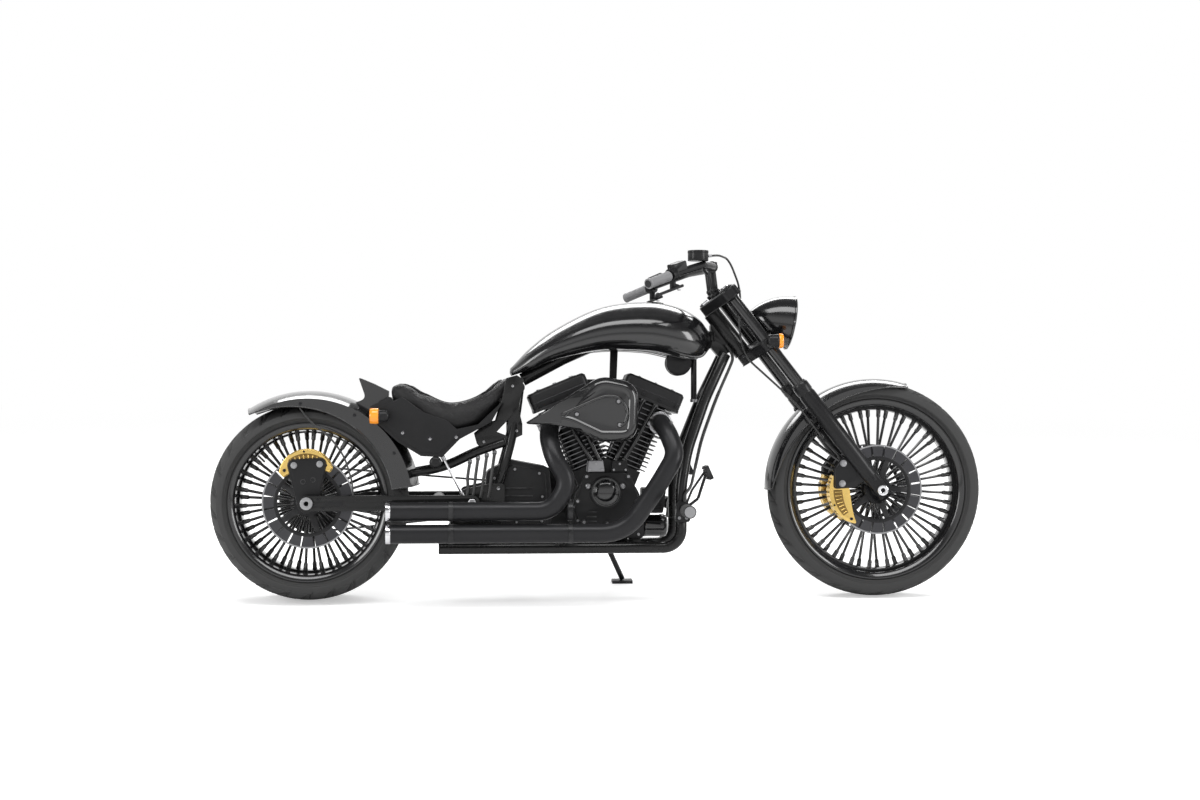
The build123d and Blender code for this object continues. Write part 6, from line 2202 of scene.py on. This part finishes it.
@dataclass
class Chassis:
    """Frame tubes with weld beads, swingarm, drive, gearbox hoses and fittings."""

    ripples: int = 26
    rail_y: float = 90.0
    downtube_y: float = 110.0
    rear_tube_y: float = 94.0
    plate_y: float = 124.0
    arm_y: float = 184.0
    gusset: Flat = (92.0, 97.0)
    cover_at: tuple[Point, ...] = ((CRANK_X, CRANK_Z, 98.0), (690.0, 335.0, 94.0))
    cover_y: float = 198.0
    pulley_y: float = 139.0
    pulley_r: float = 106.4
    teeth: int = 68
    filter_r: float = 38.0
    filter_x: float = 1118.3
    peg: Point = (1240.0, 250.0, 306.0)
    pad: Point = (1312.0, 246.0, 431.0)
    hose_r: float = 5.2
    horn: Point = (1243.0, 21.0, 796.0)

    def build(self) -> None:
        """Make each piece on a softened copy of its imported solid."""
        self._frame()
        self._drive()
        self._gearbox()
        self._fittings()
        self._feet()
        self._hoses()

    def _weld(self, shape: Shape, at: Matrix, radius: float) -> None:
        """A weld bead of overlapped ripples round a joint."""
        ring_of(shape, lambda part: part.tube([(radius, -2.6, 0), (radius + 0.4, 0, 0), (radius, 2.6, 0)],
                                              [1.4, 2.4, 1.4], FRAME_BLACK, 6), FRAME_BLACK, self.ripples, at)

    def _frame(self) -> None:
        """Spine, downtubes, rails, rear tubes and pivot plates."""
        # node, rounding, weld beads as (place, way, radius)
        table = (
            ("frame_spine", 1.0, [((1366, 0, 885), (1, 0, 0), 22.4)]),
            ("frame_downtubes", 0.8, [((1240, s * self.downtube_y, 266), (0, 0, 1), 19.2) for s in SIDES]),
            ("frame_rails", 0.6, [((x, s * self.rail_y, 176), (0, 1, 0), 15.3)
                                  for x in (1090, 900) for s in SIDES]),
            ("frame_rear", 0.6, [((652, s * self.rear_tube_y, 529), (0.94, 0, 0.33), 14.3) for s in SIDES]),
            ("frame_pivot_plates", 3.0, []),
        )
        for node, bevel, welds in table:
            shape = Shape().borrow(node, FRAME_BLACK, bevel)
            for place, way, radius in welds:
                self._weld(shape, aimed(place, way), radius)
            if node == "frame_rear":
                for side in SIDES:
                    self._gusset(shape, side)
            if node == "frame_pivot_plates":
                for side in SIDES:
                    for x, z in ((470, 212), (610, 212), (628, 376)):
                        shape.bolt(side_frame(x, z, side * self.plate_y, out=side), 6, 4, STEEL)
            shape.emit(f"{node}_finished", "chassis", [node], "satin_black", 40)
        shape = Shape().borrow("swingarm", FRAME_BLACK, 2.2)
        for side in SIDES:
            at = side_frame(540, 330, side * self.arm_y, out=side)
            shape.lathe([(0, 0), (15, 0), (15, 2), (12, 4), (0, 4)], STEEL, at, 6)
            for k, x in enumerate((18, 34)):
                shape.bolt(side_frame(x + 20, 330 + 14 * (1 - 2 * k), side * 176, out=side), 4.5, 3, BOLT)
            slot = rounded([(60, 322), (120, 322), (120, 338), (60, 338)], 7, 5)
            shape.side(slot, side * 175.5, side * 177.2, SATIN_BLACK, bevel=0.8)
        shape.emit("swingarm_finished", "chassis", ["swingarm"], "satin_black")
        shape = Shape().borrow("rear_axle", STEEL, 1.2)
        shape.emit("rear_axle_nuts", "chassis", ["rear_axle"], "steel")
        shape = Shape().borrow("side_stand", SATIN_BLACK, 1.0)
        shape.emit("side_stand_finished", "side_stand", ["side_stand"], "satin_black")

    def _gusset(self, shape: Shape, side: int) -> None:
        """Plate between seat nose, spine and rear tubes, with its three-cornered window."""
        low, high = (side * y for y in self.gusset)
        for corners in (
                [(655, 742), (690, 752), (712, 738), (706, 690), (694, 645), (661, 604), (622, 600),
                 (640, 665)],
                [(661, 604), (694, 645), (708, 590), (708, 553), (661, 532)],
                [(622, 600), (661, 604), (622, 563), (661, 548), (661, 532), (598, 503), (560, 520),
                 (550, 556),
                 (590, 592)]):
            shape.side(corners, low, high, FRAME_BLACK, bevel=0.6)
        for x, z in ((676, 716), (690, 566), (580, 530)):
            shape.bolt(side_frame(x, z, high, out=side), 5, 3.4, STEEL)

    def _drive(self) -> None:
        """Primary cover with screws and a domed centre, toothed belt and pulley."""
        shape = Shape().borrow("primary_cover", CAST_BLACK, 1.5)
        rim = hull(list(self.cover_at), 64)
        for k in range(0, len(rim), max(1, len(rim) // 16)):
            shape.bolt(side_frame(*rim[k], self.cover_y, out=LEFT) @ Matrix.Translation((0, 0, 15.6)), 4.6,
                       3, STEEL)
        for x, z, r in ((CRANK_X, CRANK_Z, 52), (690, 335, 46)):
            at = side_frame(x, z, 214, out=LEFT)
            shape.lathe([(0, 5), (r * 0.6, 4.4), (r * 0.9, 2.6), (r, 0), (r, -1)], CAST_BLACK, at, 64)
            ring_of(shape, lambda part: part.bolt(Matrix.Translation((r * 0.82, 0, 2.6)), 4, 2.4, STEEL),
                    STEEL, 5, at)
        shape.emit("primary_case", "chassis", ["primary_cover"], "alloy_black")
        shape = Shape().borrow("rear_pulley", CAST_BLACK, 1.2)
        at = side_frame(0, REAR_R, self.pulley_y, out=LEFT)
        ring_of(shape, lambda part: part.lathe([(0, 12.2), (9, 12.2), (10, 11), (10, 4), (0, 4)], SATIN_BLACK,
                                               Matrix.Translation((84, 0, 0)), 20), SATIN_BLACK, 8, at)
        ring_of(shape, lambda part: part.block((5, 4.6, 23), CAST_BLACK,
                                               Matrix.Translation((self.pulley_r, 0, 0)), 0.8, 1),
                CAST_BLACK, self.teeth, at)
        shape.emit("rear_pulley_teeth", "rear_wheel", ["rear_pulley"], "alloy_black")
        shape = Shape().borrow("drive_belt", GRIP, 0.8)
        shape.emit("toothed_belt", "chassis", ["drive_belt"], "belt_rubber")

    def _gearbox(self) -> None:
        """Gearbox with side cover, screws and the hoses that run down its right side."""
        shape = Shape().borrow("gearbox", CAST_BLACK, 3.0)
        cover = rounded([(592, 252), (784, 252), (794, 306), (784, 432), (676, 452), (604, 418)], 20, 6)
        shape.side(cover, -74, -80, CAST_BLACK, bevel=2.4, steps=3)
        for x, z in ((604, 264), (690, 262), (774, 264), (776, 346), (766, 424), (684, 438), (616, 408),
                     (604, 336)):
            shape.bolt(side_frame(x, z, -80), 4.6, 3.4, STEEL)
        for k in range(4):
            shape.side([(640, 372 - 26 * k), (744, 372 - 26 * k), (744, 377 - 26 * k), (640, 377 - 26 * k)],
                       -79.5, -83, CAST_BLACK, bevel=1.2)
        # Oil hoses down the right side: x at the top, z at the top, x at the foot
        for top_x, top_z, foot_x in ((616, 498, 594), (590, 489, 568), (561, 480, 542), (534, 468, 522)):
            path = eased([(top_x, -109, top_z), (top_x - 2, -122, top_z - 14), (top_x - 8, -131, top_z - 56),
                          (foot_x + 5, -131, 372), (foot_x, -130, 346)], 6)
            shape.tube(path, self.hose_r, HOSE, 12)
            shape.rod(path[0], path[4], self.hose_r + 2.2, STEEL, 14)
        strut = (Vector((442, -134, 484)), Vector((512, -129, 351)))
        shape.rod(strut[0], strut[1], 4.6, CHROME, 16)
        for end, way in ((strut[0], strut[1] - strut[0]), (strut[1], strut[0] - strut[1])):
            shape.rod(end, end + way.normalized() * 16, 7.2, STEEL, 16)
        at = side_frame(420, 462, -118)
        shape.lathe([(0, 26), (12, 26), (15, 24), (19, 22), (20.5, 19), (20.5, 0), (0, 0)], SATIN_BLACK, at,
                    40)
        ring_of(shape, lambda part: part.block((4, 2, 4), BOLT, Matrix.Translation((17.6, 0, 22.4)), 0.6,
                                               1), BOLT,
                16, at)
        shape.emit("gearbox_and_hoses", "chassis", ["gearbox"], "alloy_black")

    def _fittings(self) -> None:
        """Oil filter, regulator with its fins, and the parts under the tank."""
        shape = Shape()
        at = aimed((self.filter_x, 0, 243), (1, 0, 0))
        r = self.filter_r
        shape.lathe([(0, 0), (r - 8, 0), (r - 2, 4), (r, 7), (r, 12), (r - 1, 13), (r - 1, 60), (r, 62),
                     (r, 74),
                     (r - 3, 82), (r - 10, 86.5), (0, 87.7)], GLOSS_BLACK, at, 72)
        ring_of(shape, lambda part: part.block((2, 3, 14), GLOSS_BLACK,
                                               Matrix.Translation((r - 0.4, 0, 68)), 0.6, 1),
                GLOSS_BLACK, 30, at)
        shape.emit("oil_filter_can", "chassis", ["oil_filter"], "satin_black")
        shape = Shape().borrow("regulator", CAST_BLACK, 1.6)
        for side in SIDES:
            line_of(shape, lambda part: part.block((56, 3, 8), FIN_BLACK, Matrix.Identity(4), 0.9, 1),
                    FIN_BLACK, 6,
                    (0, 12, 0), side_frame(1152, 300 if side == RIGHT else 360, side * 63, out=side))
        shape.emit("finned_regulator", "chassis", ["regulator"], "satin_black")
        shape = Shape().borrow("undertank_fittings", SATIN_BLACK, 1.4)
        for side in SIDES:
            at = side_frame(self.horn[0], self.horn[2], side * self.horn[1], out=side)
            shape.lathe([(42.2, -4), (43.4, -3), (43.4, 1), (41, 2.6), (36, 1), (26, 0.4), (14, 2.2), (0, 3)],
                        SATIN_BLACK, at, 64)
            shape.bolt(side_frame(1243, 838, side * 7, out=side), 5, 3, STEEL)
            for x, z in ((CRANK_X - 34, 732), (CRANK_X + 34, 732)):
                shape.bolt(side_frame(x, z, side * 20, out=side), 5, 3, STEEL)
        for z in (668, 872):
            shape.lathe([(10, -5), (12, -5), (12.4, 0), (12, 5), (10, 5)], STEEL,
                        Matrix.Translation((1297, 0, z)),
                        24, closed=True)
        shape.emit("undertank_parts", "chassis", ["undertank_fittings"], "satin_black")

    def _feet(self) -> None:
        """Forward controls with ribbed peg rubbers and pads."""
        shape = Shape().borrow("foot_controls", SATIN_BLACK, 1.0)
        for side in SIDES:
            at = side_frame(self.peg[0], self.peg[2], side * self.peg[1], out=side)
            line_of(shape, lambda part: part.lathe([(19.6, -4), (21.4, -2.6), (21.4, 2.6), (19.6, 4)], GRIP,
                                                   Matrix.Identity(4), 36), GRIP, 9, (0, 0, 10.4),
                    at @ Matrix.Translation((0, 0, 10)))
            shape.lathe([(0, 100.6), (12, 100.6), (18, 100), (18, 99)], STEEL, at, 36)
            pad = Matrix.Translation((self.pad[0], side * self.pad[1],
                                      self.pad[2])) @ Matrix.Rotation(radians(-24), 4, "Y")
            line_of(shape, lambda part: part.block((4, 60, 4), GRIP, Matrix.Identity(4), 1.0, 1), GRIP, 5,
                    (0, 0, 9), pad @ Matrix.Translation((-8, 0, -18)))
            for x, z in ((1230, 276), (1254, 276)):
                shape.bolt(side_frame(x, z, side * 143, out=side), 5.5, 4, STEEL)
        shape.emit("forward_controls", "chassis", ["foot_controls"], "satin_black")

    def _hoses(self) -> None:
        """Brake hoses and the loom, with ferrules and a ribbed sleeve."""
        shape = Shape().borrow("front_hoses", HOSE)
        spots = [fork_frame(-82, -66, 640).translation, fork_frame(-48, -108, 250).translation]
        for spot in spots:
            shape.lathe([(3.4, -5), (5.4, -4), (5.4, 4), (3.4, 5)], BOLT,
                        aimed(spot, FORK.to_3x3() @ Vector((0, 0, 1))),
                        14, closed=True)
        shape.emit("front_brake_hose", "steering", ["front_hoses"], "hose_rubber")
        shape = Shape().borrow("rear_hose", HOSE)
        shape.emit("rear_brake_hose", "chassis", ["rear_hose"], "hose_rubber")
        shape = Shape().borrow("loom", HOSE)
        wires = [(1404, -23, 856), (1430, -38, 818), (1412, -44, 775), (1366, -56, 676), (1312, -80, 536),
                 (1291, -98, 452), (1272, -122, 380), (1248, -136, 352), (1248, -136, 331)]
        sleeve = bent(wires, 0.0, 8)
        middle = [p for p in sleeve if 440 < p.z < 700]
        path_of(shape, lambda part: part.tube([(-1.6, 0, 0), (0, 0, 0), (1.6, 0, 0)], [5.2, 6.6, 5.2], HOSE,
                                              10),
                HOSE, 64, middle)
        shape.emit("wiring_loom", "chassis", ["loom"], "hose_rubber")


# ---------------------------------------------------------------- studio


@dataclass
class Studio:
    """Pale floor, soft lamps and the camera at the photograph's angle."""

    distance: float = 6400.0
    across: float = 465.8
    height: float = 636.0
    aim: Flat = (976.0, 670.0)
    half_width: float = 2040.0

    def build(self) -> None:
        """Make the floor, the lamps, the world and the camera."""
        self._camera()
        self._floor()
        self._world()
        lamps = (
            # place, target, size x, size y, power, all in metres and watts
            ((-0.2, -1.6, 4.2), (0, 0, 0.5), 4.6, 1.6, 120.0),
            ((0.2, 2.6, 2.8), (0, 0, 0.7), 4.5, 1.0, 85.0),
            ((3.8, -2.2, 1.9), (0.3, 0, 0.5), 1.2, 2.4, 60.0),
            ((-3.8, -2.0, 1.8), (-0.3, 0, 0.5), 1.2, 2.4, 55.0),
        )
        for k, (place, target, wide, tall, power) in enumerate(lamps):
            data = bpy.data.lights.new(f"softbox_{k}", "AREA")
            data.shape, data.size, data.size_y, data.energy = "RECTANGLE", wide, tall, power
            lamp = bpy.data.objects.new(f"softbox_{k}", data)
            lamp.location = place
            lamp.rotation_euler = (Vector(target) - Vector(place)).to_track_quat("-Z", "Y").to_euler()
            bpy.context.scene.collection.objects.link(lamp)

    def _camera(self) -> None:
        """Camera that sees the leaning bike upright, as the photograph does."""
        data = bpy.data.cameras.new("camera")
        place = Vector((self.across, -self.distance, self.height))
        target = Vector((self.aim[0], 0, self.aim[1]))
        reach = (target - place).length
        data.sensor_width = 36.0
        data.lens = data.sensor_width / 2 / (self.half_width / reach)
        camera = bpy.data.objects.new("camera", data)
        back = LEANT @ (place - target).normalized()
        up = LEANT @ Vector((0, 0, 1))
        right = up.cross(back).normalized()
        turned = Matrix((right, back.cross(right), back)).transposed().to_4x4()
        camera.matrix_world = Matrix.Translation(TO_ROW @ place) @ turned
        data.clip_start, data.clip_end = 0.05, 100.0
        bpy.context.scene.collection.objects.link(camera)
        bpy.context.scene.camera = camera

    def _floor(self) -> None:
        """Pale floor that keeps the shadow and shows white to the camera."""
        data = bpy.data.meshes.new("floor")
        reach = 40.0
        data.from_pydata([(-reach, -reach, 0), (reach, -reach, 0), (reach, reach, 0), (-reach, reach, 0)], [],
                         [(0, 1, 2, 3)])
        look = Look("pale_floor")
        look.feed(Base_Color=look.blend(look.noise(0.8, 2), (0.86, 0.86, 0.86), (0.9, 0.9, 0.9)),
                  Roughness=0.7)
        look.shader.inputs["Specular IOR Level"].default_value = 0.1
        seen = look.node("ShaderNodeLightPath", {}, {}, "Is Camera Ray")
        plain = look.node("ShaderNodeEmission", {}, {"Color": (1, 1, 1, 1), "Strength": 0.42})
        both = look.node("ShaderNodeAddShader", {}, {0: Wire(look, look.shader.outputs[0]), 1: plain})
        near = look.node("ShaderNodeMixShader", {}, {0: seen, 1: Wire(look, look.shader.outputs[0]), 2: both})
        away = look.node("ShaderNodeVectorMath", {"operation": "LENGTH"}, {0: look.place()}, "Value")
        white = look.node("ShaderNodeEmission", {}, {"Color": (1, 1, 1, 1), "Strength": 1.0})
        chosen = look.node("ShaderNodeMixShader", {}, {0: away.step(2.2, 7.0) * seen, 1: near, 2: white})
        look.tree.links.new(chosen.socket, look.tree.nodes["Material Output"].inputs[0])
        floor = bpy.data.objects.new("floor", data)
        data.materials.append(look.material)
        bpy.context.scene.collection.objects.link(floor)

    def _either(self, tree: bpy.types.NodeTree, test: bpy.types.NodeSocket, yes: object,
                no: object) -> bpy.types.NodeSocket:
        """One of two values, by a ray test.

        Args:
            tree: where the node goes.
            test: 1 for the first value, 0 for the second.
            yes: the first value, a number or a socket.
            no: the second value.

        Returns:
            The chosen value's socket.
        """
        mix = tree.nodes.new("ShaderNodeMix")
        tree.links.new(test, mix.inputs[0])
        for socket, value in ((mix.inputs[3], yes), (mix.inputs[2], no)):
            if isinstance(value, bpy.types.NodeSocket):
                tree.links.new(value, socket)
            else:
                socket.default_value = value
        return mix.outputs[0]

    def _world(self) -> None:
        """White to the camera and in reflections, a plain level for light."""
        world = bpy.data.worlds.new("studio")
        bpy.context.scene.world = world
        world.use_nodes = True
        tree = world.node_tree
        ground = tree.nodes["Background"]
        rays = tree.nodes.new("ShaderNodeLightPath")
        # White all round up to the height of a studio wall, dim above it
        way = tree.nodes.new("ShaderNodeTexCoord")
        apart = tree.nodes.new("ShaderNodeSeparateXYZ")
        tree.links.new(way.outputs["Generated"], apart.inputs[0])
        wall = tree.nodes.new("ShaderNodeMapRange")
        tree.links.new(apart.outputs["Z"], wall.inputs["Value"])
        for name, value in (("From Min", 0.3), ("From Max", 0.6), ("To Min", 1.0), ("To Max", 0.16)):
            wall.inputs[name].default_value = value
        level = self._either(tree, rays.outputs["Is Glossy Ray"], wall.outputs[0], 0.55)
        for other in ("Is Transmission Ray", "Is Camera Ray"):
            level = self._either(tree, rays.outputs[other], 1.0, level)
        ground.inputs["Color"].default_value = (1, 1, 1, 1)
        tree.links.new(level, ground.inputs["Strength"])
        view = bpy.context.scene.view_settings
        view.view_transform = "Standard"


def dress_nodes() -> None:
    """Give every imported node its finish."""
    for name, node in frame["nodes"].items():
        finish = DRESS.get(name, SATIN_BLACK)
        node.data.materials.clear()
        node.data.materials.append(finish.material())


def main() -> None:
    """Build the studio, then the bike piece by piece."""
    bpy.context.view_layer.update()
    dress_nodes()
    Studio().build()
    for wheel in (FRONT_WHEEL, REAR_WHEEL):
        wheel.build()
    brakes()
    for part in (Fork(), Headlight(), BARS, Controls(), Indicators()):
        part.build()
    bodywork()
    for part in (Engine(), AirCleaner(), Exhausts(), Chassis()):
        part.build()


if __name__ == "__main__":
    main()
